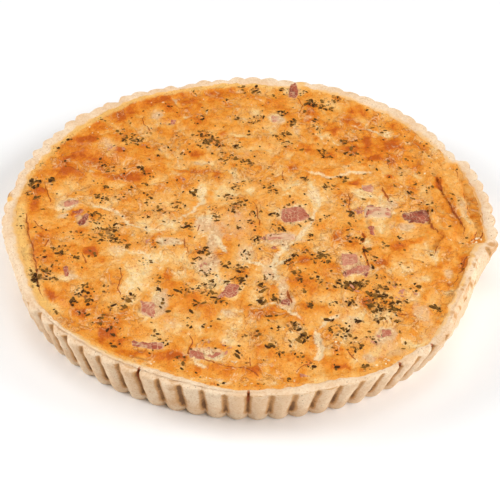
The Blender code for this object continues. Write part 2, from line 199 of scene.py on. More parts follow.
@dataclass(frozen=True)
class CaseForm:
    """The outline of the case, worked out for any angle."""

    flutes: int = 79
    first_groove: float = math.radians(1.74)
    flute_depth: float = 3.0
    lobe_fullness: float = 0.78
    base_crest: float = 129.4
    base_shift: float = 1.6
    base_shift_way: float = math.radians(202.0)
    base_lean: float = 1.2
    height: float = 28.4
    crown_rise: float = 0.5
    crown_share: float = 0.42
    lip_height: float = 26.9
    under_lip_height: float = 25.2
    shoulder: float = 1.7
    foot_round: float = 0.9
    floor: float = 4.6
    floor_radius: float = 119.0
    fold_start: float = math.radians(-8.6)
    fold_end: float = math.radians(-46.0)
    fold_middle: float = math.radians(-24.0)
    fold_lean: float = 8.0
    fold_drop: float = 5.5
    torn_step: float = 1.6
    slump_middle: float = math.radians(203.0)
    slump_reach: float = math.radians(17.0)
    slump_lean: float = 3.6
    filling_edge: float = 26.5
    rim_foot_step: float = 0.5
    rim_crest: tuple[Point, ...] = (
        (0, 137.3), (11, 138.2), (20, 138.4), (30, 137.0), (40, 139.2), (50, 140.5), (62, 141.0),
        (92, 141.0), (104, 140.4), (113, 139.4), (122, 140.7), (145, 140.8), (156, 140.0), (170, 138.2),
        (185, 137.8), (205, 138.6), (230, 139.6), (270, 140.6), (300, 139.4), (320, 138.4), (350, 137.3),
    )
    rim_inner_edge: tuple[Point, ...] = (
        (0, 129.5), (8, 130.2), (15, 130.8), (22.8, 131.6), (24.4, 128.2), (31, 128.4), (36, 129.2), (45, 131.0),
        (60, 132.3), (66, 133.6), (76, 134.4), (79.5, 131.8), (85, 131.6), (90, 132.8), (97, 133.2), (106, 132.4),
        (115, 131.6), (124, 132.8), (135, 131.4), (150, 130.8), (165, 130.2), (175, 130.2), (186, 129.0),
        (196, 127.4), (205, 128.0), (212, 130.0), (219, 132.2), (226, 132.0), (233, 130.8), (241, 130.9),
        (250, 130.0), (256, 131.2), (261, 133.2), (265, 134.4), (271, 134.7), (276, 133.9), (285, 132.4),
        (290, 132.8), (294, 134.9), (300, 135.0), (305, 133.2), (312, 133.2), (316, 130.6), (320, 128.6),
        (325, 125.2), (333, 123.4), (344, 122.6), (349.3, 123.4), (350.8, 129.4),
    )
    rim_shift: tuple[Point, ...] = (
        (0, -0.2), (10, -0.4), (17, 0.2), (22.9, 0.5), (23.9, -3.0), (28, -1.6), (34, -0.3), (40, 0.0), (46, 0.3),
        (56, 0.7), (66, 0.8), (72.5, 0.9), (76, 0.1), (81, -0.7), (86, 0.3), (95, 0.3), (98, -2.2), (101, -2.0),
        (104, -0.6), (107.5, -2.6), (111.3, -4.6), (113.2, -1.2), (119.6, -1.6), (122.5, 0.0), (127, 0.0),
        (129.6, -2.6), (132, -0.9), (137.4, -1.8), (140, 0.6), (144.6, 0.5), (148.4, -2.2), (151, -0.8),
        (155, 0.0), (157.4, -1.4), (159.4, 0.1), (162.2, -1.2), (164.4, 0.4), (167.4, -1.2), (170, 0.2),
        (173.2, -1.8), (175.4, 0.1), (180, 0.3), (190, 0.1), (214, 0.0), (224, -1.0), (258, -1.2), (268, -0.3),
        (300, 0.0), (345, 0.0),
    )

    @property
    def pitch(self) -> float:
        """The angle from one groove to the next."""
        return math.tau / self.flutes

    def groove(self, number: int) -> float:
        """The angle of a groove."""
        return self.first_groove + number * self.pitch

    def lobe(self, angle: Array) -> Array:
        """0 in a groove and 1 on the crest of a flute."""
        share = ((angle - self.first_groove) / self.pitch) % 1.0
        return np.abs(np.sin(np.pi * share)) ** self.lobe_fullness

    def fold(self, angle: Array) -> Array:
        """How far the folded dough leans in: 0 outside the fold and 1 at its middle."""
        way = turned(angle, self.fold_middle)
        reach = np.where(way > 0, self.fold_start - self.fold_middle, self.fold_middle - self.fold_end)
        return smooth(1.45 * (1 - np.abs(way) / reach))

    def slump(self, angle: Array) -> Array:
        """How far the rim slumped at the front left, 0 to 1."""
        return smooth(1 - np.abs(turned(angle, self.slump_middle)) / self.slump_reach)

    def unevenness(self, angle: Array) -> Array:
        """Small rises and falls of a hand-lined case."""
        return 0.35 * np.sin(2 * angle + 0.7) + 0.3 * np.sin(5 * angle + 2.0) + 0.2 * np.sin(11 * angle)

    def outer_radius(self, angle: Array) -> Array:
        """The crest line of the rim."""
        whole = radius_between(self.rim_crest, angle)
        return whole - self.fold_lean * self.fold(angle) - self.slump_lean * self.slump(angle)

    def base_radius(self, angle: Array) -> Array:
        """The crest line of the foot."""
        shift = self.base_shift * np.cos(angle - self.base_shift_way)
        return self.base_crest + shift + 0.6 * self.unevenness(angle) - self.base_lean * self.fold(angle)

    def inner_radius(self, angle: Array) -> Array:
        """The line where rim and filling meet."""
        return radius_between(self.rim_inner_edge, angle)

    def back(self, angle: Array) -> Array:
        """1 round the back of the case, where the rim's edge is thin and crisp, and 0 round the front."""
        return smooth(1.5 - np.abs(turned(angle, math.radians(90))) / math.radians(72))

    def rim_top(self, angle: Array) -> Array:
        """Height of the rim's shoulder."""
        return self.height - self.crown_rise + 0.4 * self.unevenness(angle)

    def rim_foot_height(self, angle: Array) -> Array:
        """Height at which the rim's inner face meets the filling."""
        return self.filling_edge + self.rim_foot_step + self.torn_step * self.fold(angle)


@dataclass(frozen=True)
class Swell:
    """A raised or sunken stretch of the baked top: its middle, half sizes, turn in degrees and lift."""

    x: float
    y: float
    length: float
    width: float
    turn: float
    lift: float

    def at(self, x: Array, y: Array) -> Array:
        """1 near the middle, 0 outside, at each place."""
        c, s = math.cos(math.radians(self.turn)), math.sin(math.radians(self.turn))
        along = ((x - self.x) * c + (y - self.y) * s) / self.length
        across = ((y - self.y) * c - (x - self.x) * s) / self.width
        return smooth(1.3 - np.hypot(along, across))


class Mark(Enum):
    """What a line on the baked top is."""

    CRACK = "a dark split in the skin"
    VEIN = "a pale seam where the soft egg shows"
    LEDGE = "the broken edge of a raised skin, higher on the left of its way"


@dataclass(frozen=True)
class Line:
    """One split, seam or broken edge: its kind, half width, height or depth, and route."""

    kind: Mark
    half: float
    size: float
    route: tuple[Point, ...]


SWELLS: tuple[Swell, ...] = (
    Swell(110, 24, 40, 11, 97, 1.7), Swell(101, -20, 17, 9, 72, 1.2), Swell(96, 64, 21, 13, 125, 1.0),
    Swell(126, 12, 30, 3.4, 95, -2.0), Swell(16, -104, 20, 14, 15, 1.3), Swell(-6, -121, 27, 6, -4, 0.9),
    Swell(-44, -113, 20, 5, -20, 1.0), Swell(40, -109, 9, 12, 0, 0.6), Swell(-110, -12, 13, 12, 20, 1.2),
    Swell(-113, -36, 14, 7, 110, 1.0), Swell(-98, 66, 22, 12, 50, 0.9), Swell(-40, 108, 30, 10, 12, 0.8),
    Swell(-88, -52, 17, 13, 30, -0.9), Swell(-30, -48, 26, 16, 70, -0.8), Swell(48, -60, 28, 20, 20, -0.5),
    Swell(12, 62, 40, 16, 5, 0.5), Swell(-50, 40, 30, 12, 10, 0.6), Swell(70, 24, 14, 12, 0, -0.8),
    Swell(78, -30, 22, 12, -10, 0.7), Swell(-64, -66, 14, 10, 30, -0.8), Swell(36, 98, 22, 12, -8, -0.5),
    Swell(-124, 12, 8, 12, 0, 0.8), Swell(8, 10, 24, 20, 40, 0.4),
)

# Browned places: middle, half sizes, turn, and how dark.
BROWNED: tuple[Swell, ...] = (
    Swell(-108, 48, 14, 26, -20, 0.5), Swell(-100, 67, 7, 5, 15, 0.8), Swell(-93, 77, 10, 8, 50, 0.5),
    Swell(-81, 94, 11, 6, 25, 0.8), Swell(-72, 105, 12, 7, 30, 0.5), Swell(-58, 112, 10, 6, 15, 0.5),
    Swell(-42, 112, 8, 9, 10, 0.7), Swell(-27, 109, 14, 8, -10, 0.45), Swell(-30, 120, 13, 5, 5, 0.4),
    Swell(-17, 125, 11, 4, 0, 0.35), Swell(-4, 114, 17, 9, 0, 0.4), Swell(-48, 101, 8, 6, 0, 0.35),
    Swell(-80, 72, 9, 9, 0, 0.4), Swell(-66, 61, 5, 4, 0, 0.5), Swell(-80, 56, 3, 3, 0, 0.7),
    Swell(-19, 76, 3.4, 3.4, 0, 0.7), Swell(-31, 55, 8, 3.4, 0, 0.9), Swell(-33, 37, 14, 3, 0, 0.85),
    Swell(-21, 34, 3, 5, 0, 0.7), Swell(-13, 43, 4, 3, 0, 0.7), Swell(-69, 30, 9, 5, 10, 0.8),
    Swell(-60, 34, 8, 4, 0, 0.5), Swell(-84, 34, 14, 8, 0, 0.4), Swell(-95, 46, 8, 6, 0, 0.5),
    Swell(-112, 32, 10, 8, 0, 0.4), Swell(-121, 12, 6, 5, 0, 0.7), Swell(-42, 27, 4, 3, 0, 0.5),
    Swell(-36, 86, 15, 9, 0, 0.3), Swell(-24, 94, 14, 8, 0, 0.2), Swell(-8, 107, 4, 4, 0, 0.5),
    Swell(-82, 44, 6, 5, 0, 0.3), Swell(-55, 72, 10, 12, 0, 0.1), Swell(10, 116, 14, 9, 0, 0.4),
    Swell(18, 106, 10, 8, 0, 0.2), Swell(38, 106, 12, 9, 0, 0.45), Swell(36, 114, 4, 4, 0, 0.8),
    Swell(61, 96, 7, 8, 0, 0.5), Swell(66, 106, 8, 5, -30, 0.35), Swell(50, 84, 3, 5, 0, 0.8),
    Swell(70, 75, 4, 8, 0, 0.75), Swell(81, 72, 8, 10, 0, 0.4), Swell(89, 62, 11, 14, 0, 0.5),
    Swell(74, 56, 7, 4, 0, 0.8), Swell(82, 52, 3, 5, 0, 0.6), Swell(62, 64, 8, 5, 0, 0.55),
    Swell(52, 66, 6, 4, 0, 0.35), Swell(30, 61, 9, 4, 0, 0.5), Swell(44, 57, 6, 4, 0, 0.4),
    Swell(24, 44, 3.4, 5, 0, 0.9), Swell(100, 68, 5, 11, 30, 0.5), Swell(96, 82, 5, 8, 30, 0.45),
    Swell(78, 97, 10, 5, -30, 0.45), Swell(88, 90, 6, 5, 0, 0.35), Swell(101, 47, 8, 7, 0, 0.5),
    Swell(108, 34, 3.4, 8, -10, 0.9), Swell(80, 37, 4, 3, 0, 0.9), Swell(91, 29, 8, 8, 0, 0.4),
    Swell(58, 30, 4, 3, 0, 0.7), Swell(68, 44, 8, 5, 0, 0.3), Swell(112, 14, 3, 30, 6, 0.2),
    Swell(-121, -2, 5, 13, 5, 0.5), Swell(-121, -20, 3, 6, 10, 0.5), Swell(-112, -30, 9, 8, 0, 0.6),
    Swell(-111, -42, 5, 7, 20, 0.6), Swell(-85, -38, 5, 5, 0, 1.1), Swell(-98, -52, 6, 5, 0, 0.6),
    Swell(-101, -72, 4, 7, 25, 0.7), Swell(-96, -73, 6, 5, 0, 0.4), Swell(-76, -88, 14, 9, -30, 0.4),
    Swell(-85, -85, 4, 3, 0, 0.7), Swell(-68, -102, 14, 8, -20, 0.5), Swell(-62, -86, 4, 8, 0, 0.3),
    Swell(-30, -75, 7, 8, 0, 0.7), Swell(-24, -70, 5, 4, 0, 0.4), Swell(-42, -55, 3.4, 6, 0, 0.7),
    Swell(-57, -112, 6, 4, 0, 0.7), Swell(-40, -113, 15, 4, -6, 0.75), Swell(-31, -114, 4, 3, 0, 0.8),
    Swell(-11, -122, 20, 6, -3, 0.5), Swell(3, -121, 6, 3, 0, 0.5), Swell(-52, -30, 3, 4, 0, 0.6),
    Swell(-97, -6, 4, 3, 30, 0.6), Swell(-93, -18, 4, 5, 0, 0.4), Swell(47, -21, 4, 6, 0, 1.0),
    Swell(42, -12, 6, 6, 0, 0.25), Swell(55, -24, 6, 5, 0, 0.5), Swell(80, -26, 6, 4.4, 0, 0.85),
    Swell(72, -40, 5, 4.4, 0, 1.1), Swell(92, -20, 5, 3, 0, 0.6), Swell(104, -15, 3, 6, 0, 0.7),
    Swell(106, -28, 5, 6, 0, 0.6), Swell(101, -39, 4, 4, 0, 0.5), Swell(116, -36, 4, 9, -20, 0.4),
    Swell(96, -56, 8, 6, 0, 0.3), Swell(88, -93, 9, 5, 10, 0.45), Swell(79, -83, 4, 4, 0, 0.4),
    Swell(34, -76, 9, 6, -20, 0.7), Swell(12, -82, 8, 6, 0, 0.7), Swell(24, -58, 8, 6, 0, 0.4),
    Swell(36, -60, 9, 8, 0, 0.3), Swell(59, -72, 4, 4, 0, 0.6), Swell(43, -105, 3, 6, 0, 0.6),
    Swell(46, -117, 5, 3, 0, 0.7), Swell(26, -122, 3, 3, 0, 0.7), Swell(31, -112, 5, 4, 0, 0.5),
    Swell(5, -106, 9, 8, 0, 0.25), Swell(45, -90, 5, 5, 0, 0.3), Swell(65, -110, 4, 3, 0, 0.6),
    Swell(28, -41, 5, 4, 0, 0.45), Swell(44, -48, 6, 7, 0, 0.35), Swell(14, -114, 12, 6, 0, 0.3),
    Swell(127, 2, 1.6, 20, 6, 0.3), Swell(-84, 34, 24, 12, 0, 0.2), Swell(56, 88, 34, 22, -20, 0.2), Swell(-60, 104, 40, 14, 28, 0.16), Swell(-108, 52, 10, 30, -25, 0.16),
    Swell(72, 62, 20, 22, 0, 0.2), Swell(56, -84, 30, 14, 0, -0.12), Swell(-20, -20, 40, 30, 0, 0.08),
    Swell(-96, -96, 10, 26, 45, 0.3), Swell(110, -6, 8, 18, 0, 0.2), Swell(62, 4, 3, 4, 0, 0.3), Swell(12, 5, 5, 4, 0, 0.2),
)

# Pale places where soft egg and cheese show: middle, half sizes, turn, and how pale.
PALE: tuple[Swell, ...] = (
    Swell(-60, 93, 7, 8, 0, 0.7), Swell(-55, 84, 6, 5, 0, 0.5), Swell(-51, 113, 1.8, 7, 20, 0.8),
    Swell(-90, 62, 7, 6, 0, 0.6), Swell(-84, 57, 5, 5, 0, 0.4), Swell(-8, 74, 6, 2.6, 0, 1.0),
    Swell(-29, 46, 8, 4, 0, 0.6), Swell(-28, 16, 3.4, 13, 0, 0.7), Swell(-10, 22, 13, 14, 0, 0.3),
    Swell(-85, 2, 8, 3, 0, 0.6), Swell(-30, 65, 3, 4, 0, 0.3), Swell(-2, 56, 7, 8, 0, 0.3),
    Swell(-78, 24, 9, 4, 0, 0.3), Swell(-44, 34, 4, 4, 0, 0.4), Swell(-104, 2, 6, 6, 0, 0.4),
    Swell(-41, 93, 4, 2, 0, 0.7), Swell(14, 97, 7, 8, 0, 0.6), Swell(38, 86, 7, 9, 0, 0.5),
    Swell(27, 86, 4, 9, 0, 0.45), Swell(43, 79, 5, 4, 0, 0.7), Swell(81, 85, 5, 5, 0, 0.4),
    Swell(22, 56, 3, 6, 0, 0.5), Swell(11, 62, 9, 11, 0, 0.25), Swell(35, 20, 3.4, 15, 5, 0.8),
    Swell(65, 22, 8, 6, 0, 0.8), Swell(78, 14, 8, 6, 0, 0.55), Swell(95, 40, 3, 3, 0, 0.5),
    Swell(95, 20, 9, 8, 0, 0.25), Swell(24, 22, 16, 14, 0, 0.3), Swell(74, 4, 8, 6, 0, 0.5),
    Swell(44, 12, 8, 9, 0, 0.2), Swell(108, 82, 3, 5, 30, 0.3), Swell(-60, -60, 9, 14, 0, 0.7),
    Swell(-72, -38, 8, 7, 0, 0.6), Swell(-68, -50, 6, 7, 0, 0.5), Swell(-45, -28, 7, 4, 0, 0.6),
    Swell(-26, -12, 5, 9, 0, 0.6), Swell(-20, -26, 4, 12, 0, 0.7), Swell(-22, -45, 8, 7, 0, 0.6),
    Swell(-44, -74, 5, 10, 0, 0.75), Swell(-8, -86, 7, 11, 0, 0.65), Swell(-8, -101, 7, 5, 0, 0.6),
    Swell(-84, -14, 9, 6, 0, 0.25), Swell(-20, -58, 12, 8, 0, 0.4), Swell(-94, -60, 8, 3.4, 10, 0.8),
    Swell(-97, -82, 7, 3, -45, 0.8), Swell(-55, -12, 18, 10, 0, 0.35), Swell(-38, -40, 18, 18, 0, 0.3),
    Swell(-10, -12, 14, 16, 0, 0.3), Swell(-104, -8, 5, 3, 40, 0.6), Swell(-52, -44, 12, 10, 0, 0.35),
    Swell(30, -18, 4, 10, -25, 0.7), Swell(14, -28, 10, 5, 0, 0.55), Swell(11, -48, 7, 12, 0, 0.55),
    Swell(82, -42, 10, 6, 0, 0.5), Swell(94, -30, 10, 8, 0, 0.3), Swell(85, -65, 6, 7, 0, 0.5),
    Swell(105, -45, 4, 6, 0, 0.7), Swell(100, -35, 3, 5, 0, 0.7), Swell(90, -50, 6, 4, 0, 0.5),
    Swell(88, -77, 6, 10, 0, 0.4), Swell(50, -66, 5, 4, 0, 0.4), Swell(64, -24, 4, 5, 0, 0.8),
    Swell(76, -6, 8, 7, 0, 0.35), Swell(86, -9, 5, 3, 0, 0.7), Swell(-2, -36, 7, 10, 0, 0.4),
    Swell(4, -68, 6, 8, 0, 0.4), Swell(18, -62, 3.4, 9, 0, 0.6), Swell(66, -98, 9, 6, 0, 0.35),
    Swell(56, -84, 8, 5, 0, 0.35), Swell(60, -110, 4, 3, 0, 0.5), Swell(70, -60, 6, 5, 0, 0.2),
    Swell(-12, 2, 62, 54, 0, 0.16), Swell(0, -74, 46, 30, 0, 0.16), Swell(64, -78, 30, 30, 0, 0.24),
    Swell(-127, -14, 3, 16, 8, 0.45), Swell(-121, -40, 3, 16, 18, 0.45), Swell(-113, -60, 3, 12, 28, 0.45),
    Swell(84, -98, 20, 8, 42, 0.5), Swell(52, -88, 12, 8, 0, 0.3), Swell(-42, -90, 12, 10, 0, 0.3),
    Swell(66, 14, 30, 30, 0, 0.16), Swell(60, -110, 16, 7, 20, 0.3), Swell(119.5, 10, 3.2, 28, 3, 0.5), Swell(24, 127, 6, 5, 0, 0.5), Swell(-34, -95, 12, 8, 0, 0.15), Swell(-22, -111, 7, 6, 0, 0.6),
    Swell(66, -2, 8, 3, 0, 0.3), Swell(-52, 4, 14, 5, 0, 0.2), Swell(104, -62, 4, 6, 0, 0.3),
)

LINES: tuple[Line, ...] = (
    Line(Mark.LEDGE, 0.9, 1.9, ((106, 45), (108, 41), (109.5, 35), (108, 30), (110, 25), (113, 15), (114.5, 8),
                                (116, 2), (119, -8), (117, -16))),
    Line(Mark.LEDGE, 0.8, 2.2, ((119, -19), (122.5, -16), (124.4, -10), (123, 0), (121.6, 10), (122.2, 21),
                                (121.8, 32), (120.2, 43), (117, 52))),
    Line(Mark.LEDGE, 0.9, 1.9, ((113, 44), (110, 52), (107, 58), (103, 65), (98, 72), (93, 79), (86, 83))),
    Line(Mark.LEDGE, 0.8, 1.3, ((101, 14), (100, 6), (100.5, -8), (103, -12), (106, -16), (103, -21), (101, -27),
                                (100, -33))),
    Line(Mark.LEDGE, 0.9, 1.9, ((-124, -6), (-123.2, -13), (-120.4, -22), (-117, -32), (-113.6, -42),
                                (-111.4, -52), (-109.6, -60), (-106.4, -69), (-103, -77))),
    Line(Mark.CRACK, 0.6, 0.8, ((-120, -14), (-114, -21), (-108, -24))),
    Line(Mark.CRACK, 0.6, 0.8, ((-109, -30), (-110, -36), (-113, -38))),
    Line(Mark.CRACK, 0.6, 0.8, ((-90, -40), (-88, -44), (-86, -48))),
    Line(Mark.CRACK, 0.5, 0.7, ((0, 10), (3, 2), (4, -6), (5, -8), (4, -14))),
    Line(Mark.CRACK, 0.5, 0.7, ((-37, -24), (-35, -32), (-33, -38))),
    Line(Mark.CRACK, 0.5, 0.7, ((-27, -13), (-29, -18))),
    Line(Mark.CRACK, 0.5, 0.7, ((55, 20), (56, 10), (54, -2))),
    Line(Mark.CRACK, 0.5, 0.7, ((17, 40), (18, 30))),
    Line(Mark.CRACK, 0.45, 0.7, ((99.6, 9), (100, 0), (100.6, -8), (104, -13), (105.6, -17), (102, -26))),
    Line(Mark.CRACK, 0.8, 1.0, ((109.5, 24), (109, 31), (107, 38))),
    Line(Mark.CRACK, 0.8, 1.0, ((61.6, -27), (61.8, -33))),
    Line(Mark.CRACK, 1.3, 1.4, ((60.6, -15.6), (62.4, -19), (61.6, -24))),
    Line(Mark.CRACK, 0.6, 0.9, ((-28, -96), (-27, -104), (-29, -110), (-22, -114), (-12, -118), (0, -120),
                                (4, -124), (6, -126))),
    Line(Mark.CRACK, 0.5, 0.8, ((1, -112), (2, -118))),
    Line(Mark.CRACK, 0.5, 0.8, ((24, -120), (28, -116), (32, -114))),
    Line(Mark.CRACK, 0.5, 0.7, ((48, -106), (53, -112))),
    Line(Mark.CRACK, 0.7, 0.9, ((61, -28), (62, -33), (64, -44))),
    Line(Mark.CRACK, 0.5, 0.7, ((75, -80), (83, -79))),
    Line(Mark.CRACK, 0.5, 0.8, ((-69, 95), (-69, 87), (-66, 81), (-62, 76))),
    Line(Mark.CRACK, 0.5, 0.7, ((27, 123), (30, 113), (28, 103))),
    Line(Mark.CRACK, 0.5, 0.7, ((80, 60), (81, 45))),
    Line(Mark.CRACK, 0.5, 0.7, ((-68, -50), (-66, -58), (-67, -66), (-66, -72))),
    Line(Mark.CRACK, 0.6, 0.7, ((-113, 3), (-115, 10), (-118, 20))),
    Line(Mark.CRACK, 0.7, 0.9, ((75, 27), (76, 22), (79, 14))),
    Line(Mark.CRACK, 0.8, 1.0, ((20, -64), (20, -69), (22, -74))),
    Line(Mark.CRACK, 0.8, 1.0, ((106.0, -57), (109.6, -50), (112.8, -43), (115.6, -35), (117.6, -28), (119, -22))),
    Line(Mark.CRACK, 0.6, 0.8, ((129.2, 10), (129.4, 0), (128.4, -10), (126.4, -17))),
    Line(Mark.VEIN, 1.7, -0.9, ((28, 41), (38, 39), (45, 36.5), (50, 37.5), (57, 42), (63, 43), (72, 41))),
    Line(Mark.VEIN, 1.3, -0.7, ((35, 31), (35, 22), (38, 10), (35, 2), (34, -5), (31, -12), (27, -20), (22, -26),
                                (12, -42), (15, -55), (18, -66))),
    Line(Mark.VEIN, 1.4, -0.6, ((-28, 24), (-27, 12), (-30, 5), (-32, 0), (-40, -8))),
    Line(Mark.VEIN, 1.6, -0.5, ((-22, -18), (-18, -24), (-15, -32), (-13, -36))),
    Line(Mark.VEIN, 1.2, -0.8, ((-92, 6), (-88, 3), (-78, 0), (-72, -6), (-68, -14), (-60, -16), (-50, -17), (-42, -15))),
    Line(Mark.VEIN, 1.0, -0.8, ((2, -80), (8, -75), (14, -73), (20, -77), (26, -84), (31, -90))),
    Line(Mark.VEIN, 2.1, -1.1, ((33, -90), (35, -100), (36, -108), (35, -114))),
    Line(Mark.VEIN, 1.4, -0.9, ((35, -92), (39, -86), (43, -82), (47, -79))),
    Line(Mark.VEIN, 1.0, -0.6, ((80, 83), (85, 83), (91, 80))),
    Line(Mark.VEIN, 1.0, -0.7, ((-26, -114), (-23, -118), (-19, -121))),
    Line(Mark.VEIN, 1.0, -0.6, ((96, 76), (100, 69), (104, 62), (108, 55))),
    Line(Mark.VEIN, 1.0, -0.5, ((-40, 60), (-45, 50), (-42, 40))),
    Line(Mark.VEIN, 1.0, -0.5, ((60, 92), (72, 88), (80, 83))),
    Line(Mark.VEIN, 1.2, -0.6, ((-5, -36), (2, -42), (12, -44), (22, -38))),
    Line(Mark.VEIN, 1.0, -0.5, ((-75, -40), (-66, -36), (-56, -38), (-48, -48))),
)
WAVES = ((0.035, 0.021, 0.6, 0.45), (-0.024, 0.047, 2.1, 0.40), (0.061, -0.038, 4.0, 0.28))


@dataclass(frozen=True)
class FillingForm:
    """The baked top of the filling, as a height and as signs of baking at any place."""

    case: CaseForm
    dome: float = 0.8
    edge_reach: float = 2.4
    edge_lift: float = 1.75
    crest: float = 27.7
    ledge_fall: float = 11.0
    warp: float = 1.5
    flake_size: float = 12.0
    flake_step: float = 0.5
    skin_lift: float = 0.6
    far_stretch: float = 0.78

    def edge_radius(self, angle: Array) -> Array:
        """The edge of the mesh, hidden just inside the rim's inner face."""
        return self.case.inner_radius(angle) + self.edge_reach

    def warped(self, x: Array, y: Array) -> tuple[Array, Array]:
        """Places moved a little, so that no edge or line runs straight."""
        return (
            x + self.warp * rough_noise(x, y, 0, 7.0, 11) + 0.5 * wave_noise(x, y, 0, 1.9, 12),
            y + self.warp * rough_noise(x, y, 0, 7.0, 13) + 0.5 * wave_noise(x, y, 0, 1.9, 14),
        )

    def vein_reach(self, x: Array, y: Array) -> Array:
        """How far inside the nearest pale vein each place is, in millimetres, and below 0 outside."""
        inside = np.full(np.shape(x), -4.0)
        x, y = self.line_place(x, y)
        for line in LINES:
            if line.kind is Mark.VEIN:
                gap, _, along = route_distance(x, y, line.route)
                ends = smooth(np.minimum(along, 1 - along) * 6)
                inside = np.maximum(inside, line.half * (0.2 + 0.8 * ends) - gap)
        return inside

    def line_place(self, x: Array, y: Array) -> tuple[Array, Array]:
        """Places moved a little less, for the lines that are drawn both in relief and in colour."""
        wx, wy = self.warped(x, y)
        return (x + wx) / 2 + 0.5 * wave_noise(x, y, 0, 3.0, 15), (y + wy) / 2

    def line_relief(self, x: Array, y: Array) -> Array:
        """Depths of the cracks and veins, and the steps of the broken skins."""
        relief = np.zeros(np.shape(x))
        x, y = self.line_place(x, y)
        for line in LINES:
            gap, side, along = route_distance(x, y, line.route)
            ends = smooth(np.minimum(along, 1 - along) * 7)
            if line.kind is Mark.LEDGE:
                raised = smooth(0.5 + side * gap / line.half * 0.7) * smooth(1 - gap / self.ledge_fall)
                foot = np.exp(-(((side * gap + line.half) / line.half) ** 2))
                relief += ends * line.size * (raised - 0.38 * foot)
            elif line.kind is Mark.CRACK:
                lips = 0.3 * np.exp(-(((gap - 2.4 * line.half) / line.half) ** 2))
                relief += ends * line.size * (lips - 0.42 * smooth(1 - gap / (1.5 * line.half)))
            else:
                relief += ends * line.size * smooth(1.15 - gap / (2.6 * line.half))
        return relief

    def nearest_split(self, x: Array, y: Array) -> tuple[Array, Array]:
        """The way across the nearest crack or broken edge.

        Args:
            x, y: places.

        Returns:
            The signed distance in millimetres, and how wide open the split is, from 0.
        """
        across, opened = np.full(np.shape(x), 9.0), np.zeros(np.shape(x))
        x, y = self.line_place(x, y)
        for line in LINES:
            if line.kind is not Mark.VEIN:
                gap, side, along = route_distance(x, y, line.route)
                # At a broken edge the line sits a little down its lower side, so that the painted line darkens the foot
                # of the step as painted shade.
                way = side * gap + (0.6 * line.half if line.kind is Mark.LEDGE else 0.0)
                nearer = np.abs(way) < np.abs(across)
                ends = smooth(np.minimum(along, 1 - along) * 6 + 0.1 * (along > 0) * (along < 1))
                across = np.where(nearer, way, across)
                share = 0.42 if line.kind is Mark.LEDGE else 1.0
                opened = np.where(nearer, share * ends * (line.half / 0.6) ** 2, opened)
        return across, opened * smooth(1.6 - np.abs(across) / 1.6)

    def blisters(self, x: Array, y: Array) -> Array:
        """The puffed skin's middle-sized relief, about -1 to 1."""
        broad = rough_noise(x, y, 0, 16.0, 21, 2)
        puffs = 1 - 2.4 * np.abs(rough_noise(x * 0.85, y, 0, 9.0, 22, 3))
        fine = 1 - 2.4 * np.abs(rough_noise(x, y * 0.8, 0, 4.6, 23, 2))
        return 0.45 * broad + 0.4 * puffs + 0.26 * fine

    def crust(self, x: Array, y: Array) -> Array:
        """Where the skin set and browned: above 0 on browned skin, below 0 where the soft egg shows."""
        wx, wy = self.warped(x, y)
        far = wy * self.far_stretch
        tone, _ = flakes(wx, wy, self.flake_size, 24)
        small, _ = flakes(wx, far, self.flake_size * 0.45, 27)
        field = 0.14 * rough_noise(wx, far, 0, 17.0, 25) + 0.16 * tone + 0.14 * small
        field += 0.26 * rough_noise(wx, far, 0, 5.5, 26)
        field += 0.4 * np.minimum(sum(patch.lift * patch.at(wx, wy) for patch in BROWNED), 1.2)
        field -= 0.6 * np.minimum(sum(patch.lift * patch.at(wx, wy) for patch in self.soft_places()), 1.1)
        return field + 0.1

    def soft_places(self) -> tuple[Swell, ...]:
        """The pale places, and the soft ring of egg and fat about each piece of ham."""
        rings = (Swell(*cut.middle, cut.sides[0] / 2 + 3.2, cut.sides[1] / 2 + 3.0, 0, 0.7) for cut in HAM)
        return PALE + tuple(rings)

    def height(self, x: Array, y: Array) -> Array:
        """Height of the baked top."""
        angle = np.arctan2(y, x)
        edge = self.case.inner_radius(angle)
        share = np.hypot(x, y) / edge
        wx, wy = self.warped(x, y)
        waves = sum(lift * np.sin(a * x + b * y + c) for a, b, c, lift in WAVES)
        swells = sum(swell.lift * swell.at(wx, wy) for swell in SWELLS)
        tone, inset = flakes(wx, wy, self.flake_size, 24)
        crease = smooth(1 - inset / 0.9) * smooth(0.35 + rough_noise(x, y, 0, 14.0, 28))
        skin = self.skin_lift * smooth(0.5 + self.crust(x, y) / 0.16)
        inside = smooth((1 - share) * 9)
        level = self.case.filling_edge - 0.85 + self.dome * (1 - np.minimum(share, 1) ** 2)
        gutter = smooth(1.5 - np.abs(turned(angle, math.radians(6.0))) / math.radians(15.0))
        rise = smooth((share - 0.94 - 0.042 * gutter) / (0.06 - 0.03 * gutter))
        creep = rise * (self.edge_lift + 0.55 * rough_noise(x, y, 0, 7.0, 31)) * (1 - 0.35 * gutter)
        lines = self.line_relief(x, y)
        relief = inside * (0.8 * waves + 0.75 * swells) + np.maximum(inside, 0.75 * (share < 0.965)) * lines
        detail = 1.2 * self.blisters(x, y) + self.flake_step * (0.8 * tone - crease) + skin
        height = level - 0.3 + relief + (0.3 + 0.7 * inside) * detail + creep
        room = HIGHEST - 0.08 - self.crest
        over = np.maximum(height - self.crest, 0) / room
        return np.minimum(height, self.crest) + room * (1 - np.exp(-over))


@dataclass(frozen=True)
class HamCut:
    """One piece of ham: its back left, back right, front right and front left corners, and its look.

    The numbers after the corners are its tip in degrees, its height above the egg, its redness and its fat.
    """

    corners: tuple[Point, Point, Point, Point]
    tip: float
    proud: float
    red: float
    fat: float

    @property
    def middle(self) -> Point:
        """The middle of the four corners."""
        return sum(x for x, _ in self.corners) / 4, sum(y for _, y in self.corners) / 4

    @property
    def sides(self) -> Point:
        """The mean length and width."""
        a, b, c, d = self.corners
        return (math.dist(a, b) + math.dist(d, c)) / 2, (math.dist(a, d) + math.dist(b, c)) / 2


